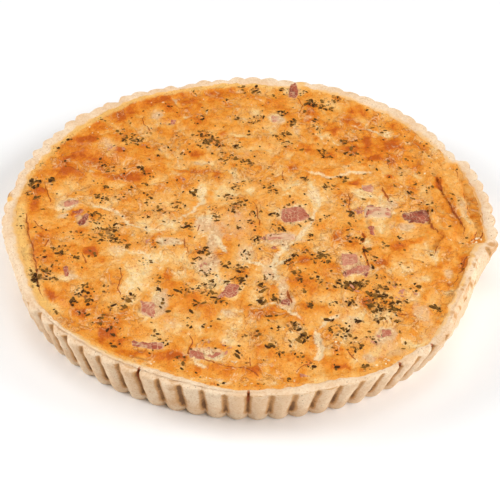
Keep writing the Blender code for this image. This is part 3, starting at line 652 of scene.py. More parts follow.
HAM: tuple[HamCut, ...] = (
    HamCut(((16.4, 3.4), (29.6, 5.6), (32.6, -5.0), (17.4, -9.6)), 3, 0.7, 0.5, 0.5),
    HamCut(((8.4, -18.8), (24.0, -19.0), (24.0, -23.4), (10.0, -24.8)), 0, 0.5, 0.22, 0.85),
    HamCut(((48.4, -33.4), (57.4, -33.0), (58.0, -41.4), (48.2, -43.6)), -3, 0.7, 0.2, 0.4),
    HamCut(((51.4, -44.6), (63.4, -41.4), (64.0, -47.2), (50.6, -49.6)), 6, 0.6, 0.45, 0.5),
    HamCut(((84.8, 4.2), (99.0, 7.6), (99.6, -3.0), (85.6, -6.6)), 4, 0.9, 0.85, 0.45),
    HamCut(((63.4, 29.6), (69.6, 30.0), (70.0, 23.4), (64.4, 22.6)), 0, 0.5, 0.12, 0.6),
    HamCut(((66.0, 9.8), (79.0, 6.2), (77.4, -0.6), (62.4, -0.8)), 6, 0.7, 0.35, 1.1),
    HamCut(((64.2, -9.6), (68.4, -9.4), (68.2, -18.4), (65.4, -17.6)), 5, 0.6, 0.6, 0.4),
    HamCut(((-10.4, -60.2), (-4.6, -61.4), (-5.4, -69.6), (-16.6, -70.4)), 3, 0.6, 0.42, 0.45),
    HamCut(((-54.8, -75.0), (-47.2, -76.4), (-45.8, -87.6), (-52.4, -86.6)), 6, 0.8, 0.5, 0.75),
    HamCut(((-56.6, -103.6), (-40.8, -103.8), (-41.2, -109.0), (-54.0, -108.6)), 8, 0.9, 0.6, 0.6),
    HamCut(((-28.0, -108.0), (-21.6, -109.0), (-20.2, -114.8), (-27.6, -113.0)), 4, 0.5, 0.42, 0.5),
    HamCut(((-20.0, -110.8), (-11.6, -108.2), (-12.0, -111.4), (-19.0, -113.4)), 0, 0.4, 0.55, 0.5),
    HamCut(((-106.0, 6.2), (-97.2, 6.8), (-97.4, 2.6), (-105.0, 0.6)), 5, 0.5, 0.32, 0.6),
    HamCut(((-92.6, -7.4), (-89.0, -7.4), (-93.0, -18.0), (-96.2, -15.0)), 6, 0.8, 0.8, 0.3),
    HamCut(((23.2, 134.2), (27.0, 134.4), (28.0, 121.6), (21.6, 121.2)), 6, 1.7, 0.75, 0.2),
    HamCut(((10.6, 98.4), (15.6, 98.2), (16.6, 92.6), (11.4, 91.6)), 0, 0.4, 0.15, 0.7),
    HamCut(((17.4, -71.4), (21.6, -70.8), (21.8, -74.8), (17.8, -74.6)), 0, 0.3, 0.8, 0.3),
    HamCut(((66.6, -90.8), (71.6, -90.4), (71.2, -95.0), (66.4, -95.2)), 0, 0.4, 0.4, 0.4),
    HamCut(((-52.4, 89.4), (-47.6, 89.0), (-48.0, 84.6), (-52.0, 84.8)), 0, 0.3, 0.5, 0.4),
    HamCut(((-97.4, -50.6), (-94.4, -51.0), (-92.6, -58.6), (-95.6, -58.2)), 0, 0.3, 0.75, 0.4),
)

# Scraps of ham that lie half sunk beside the cut pieces.
SCRAPS: tuple[HamCut, ...] = (
    HamCut(((66.6, 10.8), (69.4, 10.0), (65.0, -0.6), (62.8, -0.6)), 0, 0.9, 0.85, 0.1),
    HamCut(((68.6, 10.0), (78.6, 6.4), (78.6, 4.4), (69.6, 8.0)), 0, 0.8, 0.7, 0.2),
    HamCut(((58.2, 5.2), (64.0, 5.0), (62.4, 0.4), (58.4, 2.0)), 0, 0.4, 0.45, 0.5),
    HamCut(((6.6, -21.6), (8.4, -21.6), (8.2, -25.2), (6.8, -24.8)), 0, 0.5, 0.9, 0.1),
    HamCut(((11.6, -28.2), (14.8, -28.8), (14.2, -31.8), (12.0, -31.2)), 0, 0.4, 0.5, 0.3),
    HamCut(((-99.6, -5.4), (-93.6, -1.8), (-92.2, -4.0), (-97.8, -8.0)), 0, 0.5, 0.8, 0.2),
    HamCut(((49.8, -46.4), (51.8, -46.6), (51.4, -50.4), (49.4, -50.0)), 0, 0.6, 0.95, 0.1),
    HamCut(((59.8, -47.8), (62.6, -47.6), (62.2, -51.0), (60.0, -50.6)), 0, 0.6, 0.95, 0.1),
    HamCut(((-40.6, 29.0), (-38.0, 29.2), (-38.4, 26.6), (-40.4, 26.6)), 0, 0.4, 0.6, 0.3),
    HamCut(((31.0, 0.6), (33.4, 1.0), (33.0, -3.8), (31.2, -4.0)), 0, 0.8, 0.95, 0.1),
)


# ---- meshes and attributes ----


def mesh_object(name: str, points: Array, faces: Iterable[Sequence[int]], finish: bpy.types.Material) -> bpy.types.Object:
    """Make a smooth-shaded object from places in millimetres.

    Args:
        name: the piece's name.
        points: an array of places, one row each.
        faces: corner numbers of each face, anticlockwise from outside.
        finish: the material.

    Returns:
        The object, at the origin.
    """
    mesh = bpy.data.meshes.new(name)
    points = np.array(points, float)
    points[:, 2] = np.minimum(points[:, 2], HIGHEST)
    mesh.from_pydata((points * MM).tolist(), [], faces)
    mesh.shade_smooth()
    mesh.materials.append(finish)
    piece = bpy.data.objects.new(name, mesh)
    bpy.context.scene.collection.objects.link(piece)
    return piece


def paint(piece: bpy.types.Object, name: str, values: Array) -> None:
    """Store one number for each vertex, which a material reads by name."""
    layer = piece.data.attributes.new(name, "FLOAT", "POINT")
    layer.data.foreach_set("value", np.ascontiguousarray(values, np.float32).ravel())


def ring_faces(rows: int, around: int) -> list[tuple[int, int, int, int]]:
    """Faces of a tube of rings, each a closed loop of the same count, from the first ring to the last."""
    row, step = np.meshgrid(np.arange(rows - 1), np.arange(around), indexing="ij")
    after = (step + 1) % around
    lower, upper = row * around, (row + 1) * around
    return np.stack([lower + step, lower + after, upper + after, upper + step], -1).reshape(-1, 4).tolist()


def fan_faces(ring: Sequence[int], centre: int, upwards: bool) -> list[tuple[int, int, int]]:
    """Triangles from a ring, anticlockwise from above, to a centre point."""
    pairs = zip(ring, list(ring[1:]) + [ring[0]])
    return [(a, b, centre) if upwards else (b, a, centre) for a, b in pairs]


# ---- finishes ----


class Board:
    """A material's node tree, with short calls for the nodes that these finishes use."""

    def __init__(self, name: str) -> None:
        """Start a material with one Principled shader."""
        self.material = bpy.data.materials.new(name)
        self.material.use_nodes = True
        self.tree = self.material.node_tree
        self.shader = self.tree.nodes["Principled BSDF"]
        self.place = self.tree.nodes.new("ShaderNodeTexCoord").outputs["Object"]

    def join(self, source: object, target: bpy.types.NodeSocket) -> None:
        """Link a socket, or set a plain value."""
        if isinstance(source, bpy.types.NodeSocket):
            self.tree.links.new(source, target)
        elif isinstance(source, tuple) and len(source) == 3 and target.type == "RGBA":
            target.default_value = (*source, 1.0)
        else:
            target.default_value = source

    def attribute(self, name: str) -> bpy.types.NodeSocket:
        """A number painted on the mesh."""
        node = self.tree.nodes.new("ShaderNodeAttribute")
        node.attribute_name = name
        return node.outputs["Fac"]

    def noise(self, size: float, detail: float = 3.0, roughness: float = 0.55, distortion: float = 0.0,
              stretch: tuple[float, float, float] = (1, 1, 1)) -> bpy.types.NodeSocket:
        """Noise whose swells are about size millimetres long, 0 to 1.

        Args:
            size: length of one swell in millimetres.
            detail: how many finer layers.
            roughness: weight of the finer layers.
            distortion: how far the pattern is pulled about.
            stretch: how many times closer the pattern is along each axis.

        Returns:
            The noise value.
        """
        mapping = self.tree.nodes.new("ShaderNodeMapping")
        mapping.inputs["Scale"].default_value = stretch
        self.join(self.place, mapping.inputs["Vector"])
        node = self.tree.nodes.new("ShaderNodeTexNoise")
        node.inputs["Scale"].default_value = 1 / (size * MM)
        node.inputs["Detail"].default_value = detail
        node.inputs["Roughness"].default_value = roughness
        node.inputs["Distortion"].default_value = distortion
        self.join(mapping.outputs["Vector"], node.inputs["Vector"])
        return node.outputs["Fac"]

    def cells(self, size: float, feature: str = "F1") -> bpy.types.NodeSocket:
        """Distance to the nearest of scattered points, whose spacing is about size millimetres."""
        node = self.tree.nodes.new("ShaderNodeTexVoronoi")
        node.feature = feature
        node.inputs["Scale"].default_value = 1 / (size * MM)
        self.join(self.place, node.inputs["Vector"])
        return node.outputs["Distance"]

    def span(self, value: object, low: float, high: float, out_low: float = 0.0, out_high: float = 1.0) -> bpy.types.NodeSocket:
        """Ease a value from one range to another."""
        node = self.tree.nodes.new("ShaderNodeMapRange")
        node.interpolation_type = "SMOOTHSTEP"
        for name, source in (("Value", value), ("From Min", low), ("From Max", high),
                             ("To Min", out_low), ("To Max", out_high)):
            self.join(source, node.inputs[name])
        return node.outputs["Result"]

    def sum(self, *terms: tuple[object, float]) -> bpy.types.NodeSocket:
        """Add values, each times its weight."""
        total: object = 0.0
        for value, weight in terms:
            node = self.tree.nodes.new("ShaderNodeMath")
            node.operation = "MULTIPLY_ADD"
            for socket, source in zip(node.inputs, (value, weight, total)):
                self.join(source, socket)
            total = node.outputs[0]
        return total

    def contour(self, value: object, level: float, half: float) -> bpy.types.NodeSocket:
        """1 along the line where a value passes a level, falling to 0 at half away from it."""
        off = self.sum((value, 1.0), (-level, 1.0))
        return self.span(self.times(off, off), half * half, 0.0)

    def times(self, first: object, second: object) -> bpy.types.NodeSocket:
        """Multiply two values."""
        node = self.tree.nodes.new("ShaderNodeMath")
        node.operation = "MULTIPLY"
        self.join(first, node.inputs[0])
        self.join(second, node.inputs[1])
        return node.outputs[0]

    def mix(self, share: object, first: object, second: object, blend: str = "MIX") -> bpy.types.NodeSocket:
        """Blend two colours."""
        node = self.tree.nodes.new("ShaderNodeMix")
        node.data_type = "RGBA"
        node.blend_type = blend
        self.join(share, node.inputs[0])
        self.join(first, node.inputs[6])
        self.join(second, node.inputs[7])
        return node.outputs[2]

    def ramp(self, value: object, stops: Sequence[tuple[float, Colour]]) -> bpy.types.NodeSocket:
        """A colour that runs through stops as the value grows."""
        node = self.tree.nodes.new("ShaderNodeValToRGB")
        band = node.color_ramp
        band.interpolation = "B_SPLINE" if len(stops) > 3 else "EASE"
        band.elements[0].position, band.elements[1].position = stops[0][0], stops[-1][0]
        band.elements[0].color, band.elements[1].color = (*stops[0][1], 1), (*stops[-1][1], 1)
        for at, colour in stops[1:-1]:
            band.elements.new(at).color = (*colour, 1)
        self.join(value, node.inputs["Fac"])
        return node.outputs["Color"]

    def bump(self, height: object, distance: float, normal: object = None) -> bpy.types.NodeSocket:
        """A bumped normal, for relief of the given distance in millimetres."""
        node = self.tree.nodes.new("ShaderNodeBump")
        node.inputs["Distance"].default_value = distance * MM
        self.join(height, node.inputs["Height"])
        if normal is not None:
            self.join(normal, node.inputs["Normal"])
        return node.outputs["Normal"]

    def finish(self, colour: object, roughness: object, normal: object, **values: object) -> bpy.types.Material:
        """Connect the shader.

        Args:
            colour: base colour.
            roughness: how matt the surface is.
            normal: bumped normal.
            **values: further shader inputs by name, with _ for a space.

        Returns:
            The material.
        """
        self.join(colour, self.shader.inputs["Base Color"])
        self.join(roughness, self.shader.inputs["Roughness"])
        self.join(normal, self.shader.inputs["Normal"])
        for name, value in values.items():
            self.shader.inputs[name.replace("_", " ")].default_value = value
        return self.material


def shade(red: int, green: int, blue: int) -> Colour:
    """A screen colour, 0 to 255, as the shader's light values."""
    def light(value: int) -> float:
        part = value / 255
        return part / 12.92 if part <= 0.04045 else ((part + 0.055) / 1.055) ** 2.4

    return light(red), light(green), light(blue)


@dataclass(frozen=True)
class PastryFinish:
    """Shortcrust: cream and sandy, browned on its edges, and brown in its grooves, partly from baking and partly
    painted shade.
    """

    cream: Colour = shade(238, 201, 160)
    pale: Colour = shade(248, 221, 187)
    toasted_and_shaded: Colour = shade(210, 154, 94)
    brown: Colour = shade(136, 92, 52)
    burnt: Colour = shade(172, 88, 36)
    egg: Colour = shade(246, 190, 104)
    roughness: float = 0.72

    def material(self) -> bpy.types.Material:
        """Build the material."""
        board = Board("shortcrust")
        broad = board.noise(16, 4, 0.6)
        sandy = board.noise(0.9, 3, 0.7)
        grain = board.noise(2.6, 4, 0.65)
        base = board.mix(board.span(board.sum((broad, 0.6), (grain, 0.4)), 0.4, 0.6), self.cream, self.pale)
        base = board.mix(board.span(sandy, 0.48, 0.7, 0, 0.5), base, self.toasted_and_shaded)
        # This number holds real toasting and also painted shade: in the grooves, on the front wall, and in the join low
        # on the rim's inner face at the right.
        toast_and_shade = board.sum((board.attribute("toast_and_shade"), 1.0), (grain, 0.5), (sandy, 0.3), (-0.4, 1.0))
        base = board.mix(board.span(toast_and_shade, 0.15, 0.75), base, self.toasted_and_shaded)
        base = board.mix(board.span(toast_and_shade, 0.7, 1.15), base, self.brown)
        stain = board.sum((board.attribute("stain"), 1.0), (grain, 0.6), (-0.3, 1.0))
        base = board.mix(board.span(stain, 0.25, 0.85, 0, 0.9), base, self.egg)
        crack = board.sum((board.attribute("crack"), 1.0), (sandy, 0.3), (-0.15, 1.0))
        base = board.mix(board.span(crack, 0.3, 0.85), base, self.burnt)
        specks = board.span(board.cells(2.8), 0.15, 0.06, 0, 0.8)
        base = board.mix(board.times(specks, board.span(broad, 0.42, 0.6)), base, self.brown)
        relief = board.sum((sandy, 0.6), (grain, 0.9))
        return board.finish(base, self.roughness, board.bump(relief, 0.9), IOR=1.4)


@dataclass(frozen=True)
class CustardFinish:
    """Baked egg: gold, browned where the skin puffed, cream and grey where it stayed soft."""

    cream: Colour = shade(254, 216, 148)
    light: Colour = shade(249, 188, 104)
    gold: Colour = shade(246, 168, 68)
    orange: Colour = shade(240, 147, 34)
    brown: Colour = shade(226, 120, 10)
    dark: Colour = shade(194, 86, 4)
    grey: Colour = shade(236, 196, 152)
    hollow_shade: Colour = shade(196, 132, 66)
    crack: Colour = shade(170, 78, 14)
    vein: Colour = shade(254, 226, 176)
    edge: Colour = shade(252, 202, 116)
    herb: Colour = shade(112, 74, 28)

    def material(self) -> bpy.types.Material:
        """Build the material."""
        board = Board("baked_egg")
        tall = (1.0, 0.78, 1.0)
        mottle = board.noise(6.5, 5, 0.6, 0.8, tall)
        fleck = board.noise(2.2, 4, 0.7, 0.4, tall)
        fine = board.noise(0.8, 2, 0.6)
        bake = board.sum(
            (board.attribute("bake"), 1.0), (board.attribute("crust"), 0.36), (mottle, 0.75), (fleck, 0.6),
            (-0.675, 1.0),
        )
        base = board.ramp(bake, (
            (0.0, self.cream), (0.2, self.light), (0.42, self.gold), (0.62, self.orange), (0.82, self.brown),
            (1.0, self.dark),
        ))
        grey = board.sum((board.attribute("grey"), 1.0), (fleck, 0.9), (mottle, 0.5), (-0.7, 1.0))
        base = board.mix(board.span(grey, 0.25, 0.8, 0, 0.75), base, self.grey)
        # Painted shade: darker brown where fleck and mottle, and so the bumped relief, are lowest, a little more in the
        # grey places.
        hollow_shade = board.sum((board.attribute("grey"), 0.4), (mottle, -1.0), (fleck, -0.9), (0.72, 1.0))
        base = board.mix(board.span(hollow_shade, 0.0, 0.3, 0, 0.4), base, self.hollow_shade)
        fold = board.noise(10.0, 4, 0.6, 1.0, tall)
        where = board.noise(26.0, 1)
        wrinkle = board.times(board.contour(fold, 0.5, 0.012), board.span(where, 0.48, 0.56))
        # A pale line beside each wrinkle, a little raised in the bump: partly pale egg, partly a painted highlight on
        # the wrinkle's edge.
        seam = board.times(board.contour(fold, 0.46, 0.035), board.span(where, 0.44, 0.56))
        base = board.mix(board.times(seam, board.span(fleck, 0.4, 0.6, 0.0, 0.5)), base, self.vein)
        base = board.mix(board.times(wrinkle, board.span(fleck, 0.62, 0.4, 0.1, 0.7)), base, self.crack)
        curd = board.sum((fleck, 1.0), (board.attribute("crust"), -0.22), (mottle, -0.35), (0.175, 1.0))
        base = board.mix(board.span(curd, 0.6, 0.74, 0, 0.75), base, self.vein)
        vein = board.sum((board.attribute("vein"), 1.0), (fleck, 4.4), (mottle, 1.8), (-3.0, 1.0))
        base = board.mix(board.span(vein, -0.3, 1.2, 0, 0.86), base, self.vein)
        rim = board.sum((board.attribute("edge"), 1.0), (fleck, 1.1), (mottle, 0.6), (-0.85, 1.0))
        base = board.mix(board.span(rim, 0.2, 1.0, 0, 0.8), base, self.edge)
        crease = board.sum((board.attribute("crack"), 1.0), (fine, 0.4), (-0.2, 1.0))
        base = board.mix(board.span(crease, 0.3, 0.85, 0, 0.8), base, self.crack)
        way = board.sum((board.attribute("across"), 1.0), (fleck, 1.2), (fine, 0.5), (-0.85, 1.0))
        way = board.times(way, way)
        # Painted shade: a soft brown band along each split and at the foot of each broken edge.
        crevice_shade = board.sum((board.attribute("opened"), 1.0), (way, -1.1))
        base = board.mix(board.span(crevice_shade, 0.0, 1.6, 0, 0.5), base, self.brown)
        # A thin dark line along each split and at the foot of each broken edge: partly the split's own brown, partly
        # painted shade in the crevice.
        split = board.sum((board.attribute("opened"), 1.0), (way, -6.5))
        base = board.mix(board.span(split, 0.0, 0.35, 0, 0.95), base, self.crack)
        chips = board.sum((board.cells(1.9), -1.0), (board.attribute("herb"), 0.4), (fleck, 0.3), (-0.07, 1.0))
        base = board.mix(board.span(chips, 0.0, 0.1, 0, 0.66), base, self.herb)
        pores = board.span(board.sum((board.noise(1.1, 3, 0.7), 1.0), (mottle, -0.3)), 0.29, 0.2, 0, 0.55)
        base = board.mix(pores, base, self.dark)
        specks = board.span(board.cells(3.2), 0.14, 0.06, 0, 0.6)
        base = board.mix(specks, base, self.dark)
        relief = board.sum((fleck, 1.0), (fine, 0.45), (mottle, 0.8), (wrinkle, -0.2), (seam, 0.1))
        rough = board.span(board.sum((fleck, 0.7), (mottle, 0.3)), 0.3, 0.7, 0.3, 0.6)
        return board.finish(base, rough, board.bump(relief, 1.35), IOR=1.35)


@dataclass(frozen=True)
class HamFinish:
    """Baked ham: dusty pink to dark red, with pale fat in streaks."""

    pink: Colour = shade(206, 132, 100)
    red: Colour = shade(172, 80, 52)
    fat: Colour = shade(228, 188, 146)
    dark: Colour = shade(120, 46, 24)
    egg: Colour = shade(236, 186, 116)

    def material(self) -> bpy.types.Material:
        """Build the material."""
        board = Board("ham")
        fibre = board.noise(1.8, 4, 0.7, 0.4, (1.0, 2.2, 1.0))
        patch = board.noise(4.5, 3, 0.6)
        red = board.sum((board.attribute("red"), 1.0), (fibre, 0.7), (patch, 0.4), (-0.55, 1.0))
        base = board.ramp(red, ((0.1, self.pink), (0.7, self.red), (1.1, self.dark)))
        fat = board.sum((board.attribute("fat"), 1.0), (fibre, 0.9), (patch, 0.3), (-0.6, 1.0))
        base = board.mix(board.span(fat, 0.45, 0.85, 0, 0.9), base, self.fat)
        marbling = board.span(board.sum((board.cells(2.4, "DISTANCE_TO_EDGE"), 1.0), (fibre, 0.3)), 0.27, 0.12, 0, 0.75)
        base = board.mix(board.times(marbling, board.span(patch, 0.3, 0.6, 0.2, 1.0)), base, self.fat)
        lap = board.sum((board.attribute("lap"), 1.0), (fibre, 0.9), (patch, 0.5), (-0.7, 1.0))
        base = board.mix(board.span(lap, 0.35, 0.6, 0, 0.92), base, self.egg)
        return board.finish(base, 0.42, board.bump(board.sum((fibre, 1.0), (patch, 0.5)), 0.5), IOR=1.45)


@dataclass(frozen=True)
class HerbFinish:
    """Dried herbs, dark olive brown after baking."""

    dark: Colour = shade(64, 38, 10)
    green: Colour = shade(128, 88, 32)

    def material(self) -> bpy.types.Material:
        """Build the material."""
        board = Board("dried_herb")
        tone = board.sum((board.attribute("tone"), 0.7), (board.noise(0.9, 3, 0.6), 0.6), (-0.15, 1.0))
        base = board.mix(board.span(tone, 0.2, 0.8), self.dark, self.green)
        return board.finish(base, 0.75, board.bump(board.noise(0.5, 2, 0.6), 0.15), IOR=1.25)


@dataclass(frozen=True)
class CrumbFinish:
    """Crumbs of pastry and bits of pale cheese."""

    cream: Colour = shade(250, 228, 186)
    tan: Colour = shade(226, 176, 116)

    def material(self) -> bpy.types.Material:
        """Build the material."""
        board = Board("crumb")
        tone = board.sum((board.attribute("tone"), 0.6), (board.noise(0.8, 3, 0.6), 0.6), (-0.1, 1.0))
        base = board.mix(board.span(tone, 0.2, 0.8), self.cream, self.tan)
        return board.finish(base, 0.6, board.bump(board.noise(0.5, 2, 0.6), 0.2), IOR=1.4)


# ---- the case ----


@dataclass
class PastryCase:
    """The fluted case, with its lip, cracks, torn fold and sandy surface."""

    form: CaseForm
    samples_per_flute: int = 14
    underside_ring: float = 96.0
    cracks: tuple[tuple[int, float, float, float], ...] = (
        (54, 2.0, 2.2, 15.0), (59, 1.8, 2.2, 16.0), (66, 3.2, 3.6, 20.0), (68, 3.2, 3.2, 15.0),
    )
    crack_half: float = 0.95
    crack_columns: tuple[float, ...] = (-1.15, -0.6, -0.4, -0.2, 0.2, 0.4, 0.6, 1.15)
    dents: tuple[tuple[float, float, float, float], ...] = (
        (131.0, -22.5, 3.6, 1.0), (126.0, -17.6, 2.4, 0.8),
    )
    toasted_spots: tuple[Swell, ...] = field(default_factory=lambda: (
        Swell(131, -23, 3.5, 3, 10, 0.5), Swell(126, -19, 3, 2.2, 10, 0.9), Swell(128.4, -28.5, 2, 3.4, 20, 0.8),
        Swell(-136, 4, 3, 5, 0, 0.5), Swell(124, -62, 5, 18, -25, 0.35), Swell(-121, -74, 5, 4, 30, 0.3),
        Swell(-71, -121, 3, 4, 0, 0.6),
        Swell(118, -74, 4, 12, -30, 0.35), Swell(96, -98, 8, 6, 40, 0.35), Swell(-33, -134, 5, 6, 0, 0.35),
        Swell(-56, -126, 5, 6, 0, 0.3), Swell(134, 24, 4, 10, 10, 0.15),
    ))

    def angles(self) -> Array:
        """The angles of the mesh's columns."""
        count = self.form.flutes * self.samples_per_flute
        even = self.form.first_groove + np.arange(count) * math.tau / count
        near = [self.form.groove(number) + way / 138 for number, *_ in self.cracks for way in self.crack_columns]
        return np.sort(np.concatenate([even, near]))

    def lip(self, angle: Array) -> Array:
        """How far the lip overhangs: 0 where the rim slumped or folded, 1 elsewhere."""
        soft = smooth(2.2 - np.abs(turned(angle, math.radians(198))) / math.radians(15))
        return (1 - soft) * (1 - self.form.fold(angle))

    def soft_rim(self, angle: Array) -> Array:
        """1 at the left front, where the rim sank into a rounded shoulder with no edge, and 0 elsewhere."""
        return smooth(2.6 - np.abs(turned(angle, math.radians(202))) / math.radians(7))

    def lip_dip(self, angle: Array) -> Array:
        """How deep the rim's edge follows the grooves: little at the front, fully at the back."""
        front = smooth(1.7 - np.abs(turned(angle, math.radians(284))) / math.radians(19))
        follow = 0.86 - 0.46 * front + 0.2 * self.form.back(angle)
        return np.minimum(follow, 0.9 - 0.66 * self.soft_rim(angle)) * (1 - 0.9 * self.form.fold(angle))

    def rounded(self, angle: Array) -> Array:
        """1 at the front left, where the rim's edge is broad and round, and 0 elsewhere."""
        return smooth(1.6 - np.abs(turned(angle, math.radians(242))) / math.radians(20))

    def crack_strength(self, angle: Array) -> tuple[Array, Array, Array, Array]:
        """For each angle: nearness to a crack from 0 to 1, its depth, its drop, and how far down it runs."""
        near = np.zeros_like(angle)
        depth, drop, reach = np.zeros_like(angle), np.zeros_like(angle), np.ones_like(angle)
        for number, cut, fall, length in self.cracks:
            gap = np.abs(turned(angle, self.form.groove(number))) * self.form.outer_radius(angle)
            share = np.clip(1 - gap / self.crack_half, 0, 1)
            here = share > near
            near = np.where(here, share, near)
            depth, drop = np.where(here, cut, depth), np.where(here, fall, drop)
            reach = np.where(here, length, reach)
        return near, depth, drop, reach

    def profile(self, angle: Array) -> Array:
        """The cross-section's guide points from the foot, over the rim and down inside.

        Args:
            angle: the angles of the columns.

        Returns:
            Radius and height, shaped (guide points, columns, 2).
        """
        form = self.form
        fold, slump, lip, follow = form.fold(angle), form.slump(angle), self.lip(angle), self.lip_dip(angle)
        faded = 1 - 0.85 * fold - 0.5 * slump
        dip = 1 - form.lobe(angle)
        number = np.round((angle - form.first_groove) / form.pitch)
        hollow = form.flute_depth * dip * faded * (0.84 + 0.3 * wave_noise(number * 3.1, 0 * angle, 0, 1.0, 44))
        base_hollow = form.flute_depth * dip * (1 - 0.5 * fold)
        rim, top, base = form.outer_radius(angle), form.rim_top(angle), form.base_radius(angle)
        rim = rim - 0.3 + 0.25 * wave_noise(angle * 138, 0 * angle, 0, 15.0, 45)
        rim = rim + radius_between(form.rim_shift, angle)
        near, depth, drop, _ = self.crack_strength(angle)
        cut, fall = near * depth, near * drop
        sag = form.fold_drop * fold
        round_off = self.soft_rim(angle)
        along = angle * 130.0
        inner = form.inner_radius(angle) + 0.55 * rough_noise(along, 0 * along, 0, 4.0, 43, 2)
        width = rim - inner
        foot_height = form.rim_foot_height(angle)
        rows = [
            (base - form.foot_round - 0.7 * base_hollow - 1.2, 0.0 * angle),
            (base - form.foot_round - 0.7 * base_hollow, 0.0 * angle),
            (base - 0.9 * base_hollow - 0.1, 0.35 + 0 * angle),
            (base - base_hollow, form.foot_round + 0 * angle),
        ]
        lipped = form.under_lip_height - 0.8 * sag
        under = base + (rim - base) * form.under_lip_height / form.lip_height
        full, edge = (0.86 - 0.56 * round_off) * hollow, (0.25 + 0.72 * follow) * hollow
        for share in (0.15, 0.3, 0.45, 0.6, 0.75, 0.88):
            wall = base + (under - base) * share
            arch = smooth((share - 0.6) / 0.4)
            groove = (base_hollow + (full - base_hollow) * share) * (1 - arch) + edge * arch
            rows.append((wall - groove - cut * 0.5 * smooth(share * 1.4 - 0.4), share * lipped))
        back, broad = form.back(angle), self.rounded(angle)
        shoulder = form.shoulder * (1 + 1.1 * broad - 0.5 * back)
        rows += [
            (under - edge - 0.1 * lip - 0.5 * cut, lipped - 0.9),
            (under - edge - 0.14 * lip - 0.6 * cut, lipped),
            (rim - edge - 0.25 * lip - 0.2 - 0.9 * cut - 0.2 * broad, lipped + 0.5 - 0.1 * fall),
            (rim - follow * hollow - 0.1 - cut - 0.3 * broad,
             form.lip_height - 0.2 - 0.66 * sag - 0.4 * fall - 0.5 * round_off - 0.5 * broad + 0.35 * back),
            (rim - follow * hollow - 0.25 - (1 - lip) * 0.4 - 0.95 * cut - 0.7 * broad,
             form.lip_height + 0.75 - 0.5 * sag - 0.8 * fall - 1.0 * round_off - 0.3 * broad + 0.6 * back),
            (rim - shoulder * (0.7 + 0.5 * (1 - lip)) - 0.9 * follow * hollow - 0.6 * cut,
             top + 0.25 - 0.32 * sag - fall - 0.9 * round_off - 0.3 * broad + 0.2 * back),
            (rim - shoulder * 1.5 - (0.35 + 0.3 * back) * follow * hollow - 0.3 * cut,
             top + 0.5 - 0.2 * sag - 0.8 * fall - 0.5 * round_off - 0.1 * broad),
            (inner + (form.crown_share + 0.08) * width + 0.6, top + form.crown_rise + 0.05 - 0.25 * fall),
            (inner + form.crown_share * width - 0.6, top + form.crown_rise - 0.1),
            (inner + 0.2 * width, 0.6 * (top + form.crown_rise) + 0.4 * foot_height + 0.1),
            (inner + 0.2, foot_height + 0.15),
            (inner - 0.4 - 0.2 * fold, foot_height - 0.8),
            (inner - 0.8, foot_height - 3.0),
            (inner - 2.5, foot_height - 8.0),
            (form.floor_radius + 0 * angle, form.floor + 2 + 0 * angle),
            (form.floor_radius - 1.0 + 0 * angle, form.floor + 0 * angle),
        ]
        return np.stack([np.stack(np.broadcast_arrays(r, z), -1) for r, z in rows])

    def eased(self, guide: Array, steps: Sequence[int]) -> tuple[Array, Array]:
        """Round the guide points off with a quadratic spline, which stays inside them.

        Args:
            guide: radius and height, shaped (guide points, columns, 2).
            steps: how many rows each guide point gets.

        Returns:
            Rows shaped (rows, columns, 2), and each row's place in the guide as a number.
        """
        rows, places = [], []
        for i in range(1, len(guide) - 1):
            start, end = (guide[i - 1] + guide[i]) / 2, (guide[i] + guide[i + 1]) / 2
            for step in range(steps[i]):
                t = step / steps[i]
                rows.append((1 - t) ** 2 * start + 2 * t * (1 - t) * guide[i] + t * t * end)
                places.append(i - 0.5 + t)
        rows.append((guide[-2] + guide[-1]) / 2)
        places.append(len(guide) - 1.5)
        return np.stack(rows), np.array(places)

    def build(self, finish: bpy.types.Material) -> bpy.types.Object:
        """Make the case's mesh and paint its signs of baking.

        Args:
            finish: the shortcrust material.

        Returns:
            The case.
        """
        angle = self.angles()
        guide = self.profile(angle)
        steps = [1, 2, 2, 2] + [2] * 6 + [3, 4, 4, 4, 4, 4, 4, 5, 4, 4, 4, 3, 2, 2, 1, 1]
        rows, places = self.eased(guide, steps)
        radius, height = rows[..., 0], rows[..., 1]
        turn = np.broadcast_to(angle, radius.shape)
        x, y = radius * np.cos(turn), radius * np.sin(turn)
        outside = (places[:, None] > 3.4) * (places[:, None] < 21.5)
        lump = 0.34 * rough_noise(x, y, height, 6.0, 41) + 0.2 * rough_noise(x, y, height, 2.2, 42, 2)
        over = smooth((places - 13.0) / 3.0)[:, None] + 0 * radius
        push = outside * lump
        radius = radius + push * (1 - over) - 0.12 * (1 - over)
        height = height + push * over
        for dent_x, dent_y, reach, depth in self.dents:
            height = height - over * depth * smooth(1.2 - np.hypot(x - dent_x, y - dent_y) / reach)
        x, y = radius * np.cos(turn), radius * np.sin(turn)
        points = np.stack([x, y, np.maximum(height, 0.0)], -1).reshape(-1, 3)
        count, around = len(places), len(angle)
        low, top = len(points), len(points) + 1
        points = np.vstack([points, [(0, 0, 0), (0, 0, self.form.floor)]])
        faces = ring_faces(count, around)
        faces += fan_faces(range(around), low, upwards=False)
        faces += fan_faces(range((count - 1) * around, count * around), top, upwards=True)
        piece = mesh_object("pastry_case_baked", points, faces, finish)
        for name, values in self.signs(turn, radius, height, places[:, None] + 0 * radius).items():
            paint(piece, name, np.append(values.ravel(), (0.0, 0.0)))
        return piece

